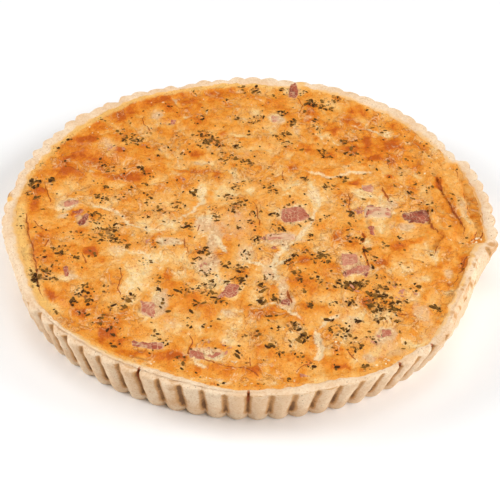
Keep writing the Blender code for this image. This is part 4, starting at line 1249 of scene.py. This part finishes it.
    def signs(self, angle: Array, radius: Array, height: Array, place: Array) -> dict[str, Array]:
        """How browned, shaded, egg-stained and split each place is.

        Args:
            angle, radius, height: places on the surface.
            place: each row's place in the guide.

        Returns:
            One array for each painted name.
        """
        form = self.form
        x, y = radius * np.cos(angle), radius * np.sin(angle)
        dip = 1 - form.lobe(angle)
        wall = smooth((place - 3.5) / 1.5) * smooth((14.4 - place) / 1.2)
        front = smooth(1.5 - np.abs(turned(angle, math.radians(268))) / math.radians(56))
        open_rim = (1 - self.soft_rim(angle)) * (1 - form.fold(angle))
        # Darker in the grooves, and much more so round the front, which faces away from the lights: partly browning,
        # partly painted shade.
        toast_and_shade = (0.16 + 0.74 * front) * wall * smooth((dip - 0.15) / 0.65) * (1 - 0.6 * form.fold(angle))
        # Painted shade: the front wall darker towards its foot.
        toast_and_shade += 0.22 * front * wall * smooth((19.0 - height) / 15.0)
        # Darker towards the foot of the wall all round.
        toast_and_shade += 0.25 * wall * smooth((5.0 - height) / 5.0)
        hair = smooth(1 - np.abs(place - 14.2) / 0.5) * (1 - 0.7 * dip)
        toast_and_shade += 0.5 * hair * smooth(1.4 - np.abs(turned(angle, math.radians(280))) / math.radians(14))
        toast_and_shade += 0.3 * smooth(1 - np.abs(place - 15.2) / 0.5) * self.rounded(angle) * (1 - dip)
        toast_and_shade += 0.34 * (1 - front) * smooth((place - 12.6) / 0.8) * smooth((15.3 - place) / 0.7) * open_rim
        toast_and_shade += sum(spot.lift * spot.at(x, y) for spot in self.toasted_spots)
        toast_and_shade += 0.35 * np.maximum(rough_noise(x, y, height, 12.0, 51), 0)
        near, _, _, reach = self.crack_strength(angle)
        depth_down = (form.lip_height - height) / reach
        crack = smooth(near * 1.9) * smooth(1.15 - depth_down) * (place < 19.2)
        crack = crack * (1 - 0.6 * smooth((place - 16.5) / 2.5))
        egg_line = rough_noise(x, y, 0, 7.0, 52)
        right = smooth(1.5 - np.abs(turned(angle, math.radians(8))) / math.radians(13))
        far = smooth(1.3 - np.abs(turned(angle, math.radians(122))) / math.radians(60))
        late = np.maximum(right, 0.65 * far)
        inside = smooth((place - 16.9 - 2.0 * late - 0.9 * egg_line) / (3.2 - 1.6 * late))
        # Painted shade: a dark line low on the rim's inner face at the right, in the join where it meets the filling.
        toast_and_shade += 0.8 * right * smooth(1 - np.abs(place - 20.3) / 0.6)
        speckled = form.fold(angle) * (place > 13)
        toast_and_shade += 0.16 * speckled
        toast_and_shade += speckled * (0.9 * np.maximum(rough_noise(x, y, height, 3.4, 53, 2) - 0.1, 0))
        soft = self.soft_rim(angle)
        back = smooth(1.2 - np.abs(turned(angle, math.radians(130))) / math.radians(60))
        stain = inside * (0.62 + 0.3 * back) + 0.28 * soft * smooth((place - 13.5) / 4)
        spill = smooth(1.3 - np.hypot(x + 136.0, y - 2.0) / 3.4)
        spill += 0.7 * smooth(1.3 - np.hypot((x - 30.0) / 4.5, (y - 134.0) / 3.5))
        egg = smooth(1.6 - np.abs(turned(angle, math.radians(237))) / math.radians(9))
        spill += 0.5 * egg * smooth((place - 14.0) / 2.0) * smooth(0.7 + 0.6 * egg_line)
        return {"toast_and_shade": toast_and_shade, "crack": crack, "stain": stain + spill}


# ---- the filling ----


@dataclass
class CustardFilling:
    """The set filling with its baked skin."""

    form: FillingForm
    cells: int = 300
    floor_gap: float = 0.5

    def places(self) -> tuple[Array, Array]:
        """Places of an even square net, drawn out to fill the case's outline.

        Returns:
            x and y, each shaped (cells + 1, cells + 1).
        """
        side = np.linspace(-1, 1, self.cells + 1)
        a, b = np.meshgrid(side, side, indexing="ij")
        wide = np.abs(a) > np.abs(b)
        reach = np.where(wide, a, b)
        ratio = np.where(wide, b, a) / np.where(reach == 0, 1, reach)
        turn = np.where(wide, ratio * math.pi / 4, math.pi / 2 - ratio * math.pi / 4)
        x, y = reach * np.cos(turn), reach * np.sin(turn)
        edge = self.form.edge_radius(np.arctan2(y, x))
        return x * edge, y * edge

    def signs(self, x: Array, y: Array) -> dict[str, Array]:
        """How baked, pale, grey and split each place is.

        Args:
            x, y: places.

        Returns:
            One array for each painted name.
        """
        form = self.form
        wx, wy = form.warped(x, y)
        angle = np.arctan2(y, x)
        inset = form.case.inner_radius(angle) - np.hypot(x, y)
        far = wy * form.far_stretch
        middle = rough_noise(wx, far, 0, 11.0, 62)
        small = rough_noise(wx, far, 0, 4.8, 63)
        tone, flake_inset = flakes(wx, wy, form.flake_size, 24)
        own, _ = flakes(wx, far, form.flake_size * 0.45, 27)
        browned = sum(patch.lift * patch.at(wx, wy) for patch in BROWNED)
        pale = np.minimum(sum(patch.lift * patch.at(wx, wy) for patch in form.soft_places()), 1.0)
        across, opened = form.nearest_split(x, y)
        right = smooth((x - 70) / 20)
        opened = opened * smooth(0.9 - 0.35 * right + (0.6 + 0.5 * right) * small)
        crack = 0.5 * smooth(1 - flake_inset / 0.8) * smooth(rough_noise(x, y, 0, 14.0, 28) - 0.1)
        bake = 0.43 + 0.03 * rough_noise(x, y, 0, 34.0, 61) + 0.1 * middle + 0.09 * small + 0.05 * tone
        bake += 0.06 * own + 0.08 * form.blisters(x, y) + 0.36 * np.minimum(browned, 1.3) - 0.28 * pale
        back = smooth(1.25 - np.abs(turned(angle, math.radians(120))) / math.radians(75))
        left = smooth(1.7 - np.abs(turned(angle, math.radians(202))) / math.radians(20))
        edge = np.maximum(back * smooth(1.1 - (inset - 1.6 * middle) / 3.8), left * smooth(1.25 - inset / 6.5))
        edge = np.maximum(edge, 0.5 * smooth(1 - (inset - middle) / 3.0))
        grey = 1.15 * pale * smooth(0.6 + 0.9 * rough_noise(x, y, 0, 20.0, 64))
        herb = sum(
            min(group.count / group.reach**1.4 / 1.6, 1.0) * smooth(1.35 - np.hypot(x - group.x, y - group.y) / (group.reach + 1.5))
            for group in HERBS
        )
        return {
            "bake": bake,
            "crust": form.crust(x, y),
            "vein": form.vein_reach(x, y) + 0.9 * small,
            "grey": grey,
            "edge": edge,
            "crack": crack,
            "across": across,
            "opened": opened,
            "herb": np.minimum(herb, 1.2),
        }

    def build(self, finish: bpy.types.Material) -> bpy.types.Object:
        """Make the filling's mesh: the baked top, its side and its underside.

        Args:
            finish: the custard material.

        Returns:
            The filling.
        """
        x, y = self.places()
        z = self.form.height(x, y)
        net = np.arange(x.size).reshape(x.shape)
        quads = np.stack([net[:-1, :-1], net[1:, :-1], net[1:, 1:], net[:-1, 1:]], -1).reshape(-1, 4)
        rim = np.concatenate([net[:-1, 0], net[-1, :-1], net[:0:-1, -1], net[0, :0:-1]])
        points = np.stack([x, y, z], -1).reshape(-1, 3)
        turn = np.arctan2(points[rim, 1], points[rim, 0])
        floor = self.form.case.floor + self.floor_gap
        reach = self.form.case.floor_radius - self.floor_gap
        foot = np.stack([reach * np.cos(turn), reach * np.sin(turn), np.full(len(rim), floor)], -1)
        first = len(points)
        feet = np.arange(first, first + len(rim))
        side = np.stack([rim, feet, np.roll(feet, -1), np.roll(rim, -1)], -1)
        points = np.vstack([points, foot, [(0, 0, floor)]])
        faces = quads.tolist() + side.tolist() + fan_faces(feet.tolist(), first + len(rim), upwards=False)
        piece = mesh_object("custard_filling_baked", points, faces, finish)
        for name, values in self.signs(x, y).items():
            paint(piece, name, np.append(values.ravel(), np.zeros(len(rim) + 1)))
        return piece


# ---- the ham ----


@dataclass
class DicedHam:
    """The ham in the baked top, each piece sunk so that the egg laps its edges."""

    filling: FillingForm
    thickness: float = 4.4
    step: float = 0.5
    corner: float = 0.34
    grown: float = 1.09
    edge_round: float = 1.1

    def build_one(self, name: str, cut: HamCut, finish: bpy.types.Material) -> bpy.types.Object:
        """Make one piece.

        Args:
            name: the piece's name.
            cut: its corners and look.
            finish: the ham material.

        Returns:
            The piece.
        """
        half_x, half_y = (side / 2 + 0.5 for side in cut.sides)
        columns = max(8, round(2 * half_x / self.step))
        rows = max(8, round(2 * half_y / self.step))
        u, v = np.meshgrid(np.linspace(-1, 1, columns + 1), np.linspace(-1, 1, rows + 1), indexing="ij")
        squash = self.grown - self.corner * 0.5 * (u * v) ** 2
        a, b, c, d = (np.array(corner) for corner in cut.corners)
        to_right, to_back = ((1 + u * squash) / 2)[..., None], ((1 + v * squash) / 2)[..., None]
        flat = (d * (1 - to_right) + c * to_right) * (1 - to_back) + (a * (1 - to_right) + b * to_right) * to_back
        x, y = flat[..., 0], flat[..., 1]
        key = 3.0 * cut.middle[0] + 7.0 * cut.middle[1]
        ragged = smooth(1.3 - np.minimum(half_x * (1 - np.abs(u)), half_y * (1 - np.abs(v))) / 2.2)
        x = x + 0.7 * rough_noise(x, y, key, 6.0, 71) + 0.7 * ragged * rough_noise(x, y, key, 2.4, 76)
        y = y + 0.7 * rough_noise(x, y, key, 6.0, 72) + 0.7 * ragged * rough_noise(x, y, key, 2.4, 77)
        margin = np.minimum((1 - np.abs(u)) * half_x, (1 - np.abs(v)) * half_y)
        middle_x, middle_y = cut.middle
        middle = float(self.filling.height(np.array([middle_x]), np.array([middle_y]))[0])
        level = 0.25 * middle + 0.75 * self.filling.height(x, y) + 0.12
        rounding = self.edge_round * (1 - np.sqrt(np.clip(1 - (1 - np.clip(margin / 1.6, 0, 1)) ** 2, 0, 1)))
        top = level + cut.proud * 0.6 + math.tan(math.radians(cut.tip)) * (y - middle_y) * 0.6
        top = top + 0.3 * rough_noise(x, y, key, 2.4, 73) - rounding
        net = np.arange(x.size).reshape(x.shape)
        rim = np.concatenate([net[:-1, 0], net[-1, :-1], net[:0:-1, -1], net[0, :0:-1]])
        points = np.stack([x, y, top], -1).reshape(-1, 3)
        under = points[rim].copy()
        under[:, 2] = middle - self.thickness + cut.proud
        first = len(points)
        feet = np.arange(first, first + len(rim))
        quads = np.stack([net[:-1, :-1], net[1:, :-1], net[1:, 1:], net[:-1, 1:]], -1).reshape(-1, 4)
        side = np.stack([rim, feet, np.roll(feet, -1), np.roll(rim, -1)], -1)
        centre = (middle_x, middle_y, middle - self.thickness + cut.proud)
        points = np.vstack([points, under, [centre]])
        faces = quads.tolist() + side.tolist() + fan_faces(feet.tolist(), first + len(rim), upwards=False)
        piece = mesh_object(name, points, faces, finish)
        streak = np.abs(wave_noise(x * 0.6 + key, y * 1.2, key, 3.4, 74))
        fat = cut.fat * (1.1 - 2.2 * streak) + 0.5 * smooth(1 - margin / 1.3) * cut.fat
        lap = smooth(0.8 - margin / 1.3) + 0.38 * rough_noise(x, y, key, 4.0, 75) - 0.06
        red = cut.red + 0.25 * rough_noise(x, y, key, 6.0, 78)
        for sign, values in (("red", red), ("fat", fat), ("lap", lap)):
            paint(piece, sign, np.append(values.ravel(), np.full(len(rim) + 1, float(values.ravel()[0]))))
        return piece


# ---- what is scattered over the top ----


@dataclass(frozen=True)
class Cluster:
    """A group of bits: its middle, its radius and how many."""

    x: float
    y: float
    reach: float
    count: int


def clusters(*rows: tuple[float, float, float, int]) -> tuple[Cluster, ...]:
    """Clusters from rows of x, y, radius and count."""
    return tuple(Cluster(*row) for row in rows)


HERBS = clusters(
    (-73, 66, 6, 34), (-81, 74, 3, 6), (-94, 89, 3, 4), (-113, 65, 3, 4), (-116, 60, 2, 3), (-118, 53, 3, 4),
    (-28, 72, 6, 20), (-27, 65, 3, 5), (-30, 63, 4, 6), (-22, 65, 4, 7), (-40, 56, 3, 4), (-11, 63, 3, 7),
    (-13, 51, 4, 7), (-17, 48, 3, 4), (-3, 45, 4, 12), (-34, 92, 3, 5), (-38, 122, 3, 4), (1, 128, 3, 9),
    (-8, 128, 3, 4), (-10, 135, 2, 2), (-27, 133, 2, 2), (12, 122, 3, 4), (36, 115, 4, 28), (45, 117, 3, 6),
    (43, 112, 3, 5), (49, 111, 3, 5), (52, 121, 3, 9), (57, 121, 2, 4), (31, 126, 3, 5), (19, 127, 3, 7),
    (18, 102, 3, 8), (20, 80, 3, 13), (25, 92, 3, 8), (40, 92, 4, 6), (40, 85, 3, 5), (15, 75, 4, 6),
    (18, 69, 3, 4), (-1, 90, 2, 3), (-1, 96, 2, 3), (2, 91, 2, 3), (5, 97, 2, 3), (-13, 95, 3, 3),
    (-31, 100, 2, 3), (42, 62, 3, 8), (44, 56, 3, 5), (27, 60, 3, 3), (55, 73, 2, 4), (62, 74, 2, 3),
    (60, 66, 2, 3), (57, 60, 2, 3), (62, 59, 2, 3), (80, 103, 2, 3), (73, 109, 2, 3), (74, 89, 2, 2),
    (104, 73, 3, 5), (115, 20, 1, 2), (121, 48, 2, 2), (94, 32, 2, 3), (103, 13, 2, 3), (103, 27, 2, 3),
    (92, 24, 2, 3), (53, 35, 2, 5), (52, 30, 2, 3), (44, 25, 3, 9), (31, 33, 2, 7), (9, 24, 3, 4),
    (11, 18, 3, 4), (-9, 24, 3, 7), (-3, 27, 3, 4), (-16, 13, 3, 4), (-11, 11, 3, 5), (-33, 16, 3, 9),
    (-41, 3, 4, 9), (-3, 7, 3, 6), (-8, 5, 3, 5), (-22, 2, 3, 4), (-12, 1, 3, 5), (-18, -3, 3, 5),
    (-20, -8, 3, 5), (1, -3, 2, 4), (0, -10, 2, 6), (-6, -14, 3, 4), (13, -2, 2, 7), (20, 5, 2, 3),
    (32, -6, 2, 3), (25, -10, 3, 4), (14, -16, 5, 12), (3, -24, 3, 9), (33, -22, 3, 4), (24, -36, 2, 6),
    (30, -32, 3, 4), (38, -38, 5, 30), (22, -42, 3, 6), (-24, -36, 4, 14), (-2, -36, 3, 6), (-34, -15, 4, 9),
    (-65, 38, 2, 10), (-60, 32, 3, 6), (-83, 37, 3, 6), (-88, 42, 3, 5), (-124, 38, 2, 3), (-125, 20, 4, 26),
    (-117, 25, 2, 4), (-120, 7, 2, 4), (-126, 10, 2, 4), (-127, -10, 2, 3), (-125, -20, 2, 3), (-82, 20, 3, 6),
    (-69, 19, 2, 4), (-60, 23, 2, 3), (-85, 10, 4, 13), (-74, 11, 3, 4), (-57, 6, 3, 4), (-53, 0, 3, 6),
    (-60, -5, 3, 4), (-86, -8, 5, 20), (-80, -24, 7, 30), (-74, -17, 4, 8), (-94, -25, 3, 6), (-73, -29, 4, 9),
    (-68, -33, 3, 4), (-83, -41, 3, 4), (-55, -45, 3, 5), (-52, -31, 3, 4), (-100, -39, 5, 12),
    (-102, -50, 3, 4), (-92, -46, 3, 4), (-114, -57, 4, 9), (-110, -62, 3, 12), (-107, -56, 4, 8), (-103, -61, 3, 8), (-109, -67, 3, 5),
    (-88, -79, 2, 9), (-84, -71, 5, 14), (-80, -78, 3, 5), (-73, -68, 3, 4), (-70, -80, 3, 4),
    (-63, -81, 2, 9), (-61, -72, 3, 9), (-71, -90, 3, 4), (-75, -94, 3, 4), (-66, -98, 3, 4),
    (-96, -87, 3, 4), (-82, -86, 3, 4), (-64, -106, 3, 4), (-47, -58, 3, 5), (-46, -65, 3, 4),
    (-38, -69, 3, 4), (-31, -64, 4, 7), (-22, -64, 5, 14), (-18, -57, 4, 6), (-5, -48, 4, 10),
    (-23, -51, 3, 6), (-12, -46, 3, 5), (-28, -43, 3, 4), (-44, -74, 3, 3), (-7, -60, 5, 20),
    (-25, -74, 3, 5), (-18, -73, 3, 4), (-13, -74, 3, 4), (-29, -88, 3, 4), (-19, -91, 3, 4),
    (-31, -115, 3, 6), (-4, -110, 2, 5), (-46, -98, 3, 4), (-39, -103, 3, 4), (7, -63, 3, 9),
    (7, -72, 2, 9), (14, -70, 2, 5), (10, -54, 3, 4), (25, -50, 3, 4), (26, -56, 3, 5), (28, -64, 3, 4),
    (36, -55, 4, 10), (48, -57, 4, 12), (31, -74, 2, 6), (45, -73, 3, 4), (41, -83, 2, 3), (23, -91, 3, 9),
    (28, -98, 3, 19), (15, -93, 3, 4), (5, -96, 3, 3), (-1, -97, 2, 2), (11, -105, 2, 9), (16, -110, 2, 4),
    (25, -110, 3, 3), (31, -116, 2, 4), (18, -126, 3, 3), (-33, -124, 3, 3), (-23, -127, 3, 3),
    (-3, -132, 2, 2), (-12, -132, 2, 2), (7, -132, 2, 2), (45, -92, 5, 14), (50, -98, 4, 5),
    (45, -116, 3, 3), (57, -117, 2, 4), (53, -58, 5, 32), (59, -58, 4, 8), (66, -70, 7, 58),
    (75, -75, 3, 11), (79, -70, 3, 6), (53, -71, 3, 9), (68, -61, 4, 8), (76, -56, 3, 5), (69, -52, 3, 4),
    (86, -59, 3, 4), (97, -75, 2, 3), (95, -72, 2, 3), (66, -82, 3, 7), (56, -85, 2, 4), (75, -82, 3, 4),
    (62, -97, 3, 6), (54, -103, 3, 4), (51, -106, 3, 3), (78, -103, 3, 3), (54, -21, 2, 6), (59, -22, 2, 5),
    (62, -31, 2, 5), (53, -34, 2, 3), (53, -11, 3, 4), (50, 9, 3, 4), (55, 1, 2, 4), (58, -3, 3, 4),
    (71, -26, 3, 3), (83, -18, 3, 3), (67, -36, 3, 4), (42, -3, 3, 4),
)
SHREDS = clusters(
    (80, -62, 6, 9), (51, -49, 2, 3), (61, -49, 2, 3), (-54, -29, 2, 3), (-79, 57, 2, 3), (-87, 56, 2, 3),
    (-65, 61, 2, 2), (26, -123, 2, 3), (-23, -47, 3, 3), (8, -23, 2, 3), (13, -30, 2, 3), (61, 4, 2, 3),
    (62, -96, 4, 4), (52, -62, 4, 3), (-96, -6, 3, 3), (-10, -108, 4, 4), (-20, -106, 4, 3),
)
BITS = clusters(
    (-6, -115, 2, 3), (-46, -118, 2, 2), (-13, -130, 2, 3), (-9, -130, 2, 3), (1, -131, 2, 3),
    (24, -127, 2, 2), (28, -124, 2, 2), (-18, -128, 2, 3), (109, -19, 2, 3), (68, -112, 2, 3),
    (104, -54, 2, 2), (-50, 102, 20, 14), (-88, 76, 12, 8), (117, -20, 3, 4), (121, -19, 3, 8), (125, -17, 2, 5), (100, -92, 3, 5), (64, -116, 3, 3),
)


@dataclass(frozen=True)
class Bits:
    """One kind of scattered bit: its name, sizes from least to most, and how it lies."""

    name: str
    groups: tuple[Cluster, ...]
    loose: int
    length: Point
    width: Point
    thickness: Point
    sunk: float
    tilt: float
    seed: int


class Scatter:
    """Puts bits on the baked top with Geometry Nodes, and makes one plain mesh of them."""

    def __init__(self, filling: FillingForm) -> None:
        """Keep the surface that the bits lie on."""
        self.filling = filling

    def places(self, kind: Bits) -> tuple[Array, Array, Array, Array]:
        """Where each bit lies, how it is turned, its size and its tone.

        Args:
            kind: the bits.

        Returns:
            Places, turns and sizes, one row for each bit, and one tone for each.
        """
        dice = np.random.default_rng(kind.seed)
        spots, boosts = [], []
        for group in kind.groups:
            boosts.append(np.full(group.count, 1.0 + 0.25 * min(group.count / group.reach**2, 2.0)))
            way = dice.uniform(0, math.tau, group.count)
            far = group.reach * np.sqrt(dice.uniform(0, 1, group.count)) * 1.1
            spots.append(np.stack([group.x + far * np.cos(way), group.y + far * np.sin(way)], -1))
        way = dice.uniform(0, math.tau, kind.loose)
        far = self.filling.case.floor_radius * np.sqrt(dice.uniform(0, 1.06, kind.loose))
        spots.append(np.stack([far * np.cos(way), far * np.sin(way)], -1))
        boosts.append(np.full(kind.loose, 0.8))
        spots, boost = np.vstack(spots), np.concatenate(boosts)
        inside = np.hypot(*spots.T) < self.filling.case.inner_radius(np.arctan2(spots[:, 1], spots[:, 0])) - 1.2
        spots, boost = spots[inside], boost[inside]
        count = len(spots)
        ease = np.clip(dice.uniform(0, 1, count) ** 2.2 * boost, 0, 1.2)
        size = np.stack([
            kind.length[0] + (kind.length[1] - kind.length[0]) * ease,
            dice.uniform(*kind.width, count) * (0.6 + 0.6 * ease),
            dice.uniform(*kind.thickness, count),
        ], -1)
        turns = np.stack([dice.normal(0, kind.tilt, count), dice.normal(0, kind.tilt, count),
                          dice.uniform(0, math.tau, count)], -1)
        height = self.filling.height(spots[:, 0], spots[:, 1]) + size[:, 2] * (0.5 - kind.sunk)
        return np.column_stack([spots, height]), turns, size / 2, dice.uniform(0, 1, count)

    def tree(self, kind: Bits, finish: bpy.types.Material) -> tuple[bpy.types.NodeTree, dict[str, float]]:
        """The node tree that sets a rough chip on each point.

        Args:
            kind: the bits.
            finish: their material.

        Returns:
            The tree, and the values of its inputs by socket identifier.
        """
        tree = bpy.data.node_groups.new(f"{kind.name}_on_points", "GeometryNodeTree")
        face = tree.interface
        face.new_socket("Points", in_out="INPUT", socket_type="NodeSocketGeometry")
        roughness = face.new_socket("Chip unevenness", in_out="INPUT", socket_type="NodeSocketFloat")
        grain = face.new_socket("Chip grain", in_out="INPUT", socket_type="NodeSocketFloat")
        face.new_socket("Bits", in_out="OUTPUT", socket_type="NodeSocketGeometry")
        nodes, links = tree.nodes, tree.links
        start, end = nodes.new("NodeGroupInput"), nodes.new("NodeGroupOutput")
        chip = nodes.new("GeometryNodeMeshIcoSphere")
        chip.inputs["Radius"].default_value = MM
        chip.inputs["Subdivisions"].default_value = 2
        place = nodes.new("GeometryNodeInstanceOnPoints")
        links.new(start.outputs["Points"], place.inputs["Points"])
        links.new(chip.outputs["Mesh"], place.inputs["Instance"])
        for name, socket in (("turn", "Rotation"), ("size", "Scale")):
            read = nodes.new("GeometryNodeInputNamedAttribute")
            read.data_type = "FLOAT_VECTOR"
            read.inputs["Name"].default_value = name
            links.new(read.outputs["Attribute"], place.inputs[socket])
        real = nodes.new("GeometryNodeRealizeInstances")
        links.new(place.outputs["Instances"], real.inputs["Geometry"])
        swell = nodes.new("ShaderNodeTexNoise")
        swell.inputs["Detail"].default_value = 1.0
        links.new(start.outputs["Chip grain"], swell.inputs["Scale"])
        centred = nodes.new("ShaderNodeVectorMath")
        centred.operation = "SUBTRACT"
        centred.inputs[1].default_value = (0.5, 0.5, 0.5)
        links.new(swell.outputs["Color"], centred.inputs[0])
        scaled = nodes.new("ShaderNodeVectorMath")
        scaled.operation = "SCALE"
        links.new(centred.outputs["Vector"], scaled.inputs[0])
        links.new(start.outputs["Chip unevenness"], scaled.inputs["Scale"])
        shift = nodes.new("GeometryNodeSetPosition")
        links.new(real.outputs["Geometry"], shift.inputs["Geometry"])
        links.new(scaled.outputs["Vector"], shift.inputs["Offset"])
        dress = nodes.new("GeometryNodeSetMaterial")
        dress.inputs["Material"].default_value = finish
        links.new(shift.outputs["Geometry"], dress.inputs["Geometry"])
        links.new(dress.outputs["Geometry"], end.inputs["Bits"])
        return tree, {roughness.identifier: 0.75 * MM, grain.identifier: 1 / (1.5 * MM)}

    def build(self, kind: Bits, finish: bpy.types.Material) -> bpy.types.Object:
        """Make one kind of bit.

        Args:
            kind: the bits.
            finish: their material.

        Returns:
            All of them as one mesh.
        """
        spots, turns, sizes, tones = self.places(kind)
        cloud = mesh_object(f"{kind.name}_points", spots, [], finish)
        for name, rows in (("turn", turns), ("size", sizes)):
            layer = cloud.data.attributes.new(name, "FLOAT_VECTOR", "POINT")
            layer.data.foreach_set("vector", np.ascontiguousarray(rows, np.float32).ravel())
        paint(cloud, "tone", tones)
        modifier = cloud.modifiers.new("bits", "NODES")
        tree, values = self.tree(kind, finish)
        modifier.node_group = tree
        for socket, value in values.items():
            modifier[socket] = value
        graph = bpy.context.evaluated_depsgraph_get()
        mesh = bpy.data.meshes.new_from_object(cloud.evaluated_get(graph), depsgraph=graph)
        cloud.modifiers.remove(modifier)
        bpy.data.objects.remove(cloud)
        mesh.name = kind.name
        mesh.shade_smooth()
        spread = np.empty(len(mesh.vertices) * 3, np.float32)
        mesh.vertices.foreach_get("co", spread)
        spread[2::3] = np.minimum(spread[2::3], HIGHEST * MM)
        mesh.vertices.foreach_set("co", spread)
        piece = bpy.data.objects.new(kind.name, mesh)
        bpy.context.scene.collection.objects.link(piece)
        return piece


# ---- the room ----


@dataclass(frozen=True)
class Studio:
    """A pale floor, soft light from the upper left and a camera above the front."""

    camera_place: tuple[float, float, float] = (-0.0007, -0.48615, 0.40929)
    camera_aim: tuple[float, float, float] = (0.00004, -0.03479, 0.0280)
    lens: float = 79.62
    roll: float = 0.0342
    floor_side: float = 24.0

    def camera(self) -> None:
        """Set the camera at its angle, a little rolled."""
        data = bpy.data.cameras.new("camera")
        data.lens = self.lens
        camera = bpy.data.objects.new("camera", data)
        bpy.context.scene.collection.objects.link(camera)
        place, aim = Vector(self.camera_place), Vector(self.camera_aim)
        back = (place - aim).normalized()
        right = Vector((0, 0, 1)).cross(back).normalized()
        up = back.cross(right)
        side = right * math.cos(self.roll) + up * math.sin(self.roll)
        rise = up * math.cos(self.roll) - right * math.sin(self.roll)
        camera.matrix_world = Matrix((
            (side.x, rise.x, back.x, place.x), (side.y, rise.y, back.y, place.y),
            (side.z, rise.z, back.z, place.z), (0, 0, 0, 1),
        ))
        bpy.context.scene.camera = camera

    def lamp(self, name: str, place: tuple[float, float, float], size: float, power: float) -> None:
        """Hang a square soft light that faces the quiche."""
        data = bpy.data.lights.new(name, "AREA")
        data.shape, data.size, data.energy = "SQUARE", size, power
        lamp = bpy.data.objects.new(name, data)
        lamp.location = place
        lamp.rotation_euler = Vector(place).to_track_quat("Z", "Y").to_euler()
        bpy.context.scene.collection.objects.link(lamp)

    def build(self) -> None:
        """Make the floor, the lights, the sky and the camera."""
        board = Board("floor")
        tone = board.mix(board.noise(60, 2), (0.93, 0.93, 0.93), (0.95, 0.95, 0.95))
        floor = mesh_object("floor", np.array([(-1, -1, 0), (1, -1, 0), (1, 1, 0), (-1, 1, 0)]) * self.floor_side / 2 / MM,
                            [(0, 1, 2, 3)], board.finish(tone, 0.9, board.bump(board.noise(30), 0.1)))
        self.lamp("left_light", (-1.5, 0.1, 0.8), 0.9, 23.0)
        self.lamp("right_light", (1.5, 0.0, 0.9), 0.9, 18.0)
        self.lamp("top_light", (0.0, 0.0, 1.8), 0.9, 7.4)
        self.lamp("front_light", (1.1, -1.0, 1.0), 0.9, 13.0)
        world = bpy.data.worlds.new("sky")
        bpy.context.scene.world = world
        world.use_nodes = True
        world.node_tree.nodes["Background"].inputs["Color"].default_value = (1.0, 1.0, 1.0, 1.0)
        world.node_tree.nodes["Background"].inputs["Strength"].default_value = 0.12
        bpy.context.scene.view_settings.view_transform = "Standard"
        self.camera()


def main() -> None:
    """Build the quiche around the frame, and report each piece."""
    logging.basicConfig(level=logging.INFO, format="%(name)s: %(message)s")
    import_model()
    case_form = CaseForm()
    filling_form = FillingForm(case_form)
    pastry, custard, ham = PastryFinish().material(), CustardFinish().material(), HamFinish().material()

    def keep(piece: bpy.types.Object, slot: str, *nodes: str) -> None:
        """Let a piece ride on the body and stand for CAD nodes."""
        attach(piece, BODY)
        if nodes:
            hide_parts(*nodes)
        log.info("%s: %d vertices", piece.name, len(piece.data.vertices))

    keep(PastryCase(case_form).build(pastry), "pastry", "pastry_case")
    keep(CustardFilling(filling_form).build(custard), "custard", "custard_filling")
    dice = DicedHam(filling_form)
    for number, cut in enumerate(HAM, start=1):
        keep(dice.build_one(f"ham_piece_{number:02d}", cut, ham), "ham", f"ham_{number:02d}")
    for number, cut in enumerate(SCRAPS, start=1):
        keep(dice.build_one(f"ham_scrap_{number:02d}", cut, ham), "ham")
    scatter = Scatter(filling_form)
    herbs = Bits("dried_herbs", HERBS, 420, (1.2, 3.8), (1.0, 2.0), (0.3, 0.6), 0.4, 0.14, 5)
    shreds = Bits("ham_shreds", SHREDS, 0, (1.4, 4.0), (0.9, 1.8), (0.5, 0.9), 0.4, 0.15, 6)
    crumbs = Bits("pale_bits", BITS, 40, (0.8, 2.4), (0.6, 1.3), (0.4, 0.8), 0.35, 0.2, 7)
    keep(scatter.build(herbs, HerbFinish().material()), "custard")
    keep(scatter.build(shreds, ham), "ham")
    keep(scatter.build(crumbs, CrumbFinish().material()), "pastry")
    Studio().build()


if __name__ == "__main__":
    main()
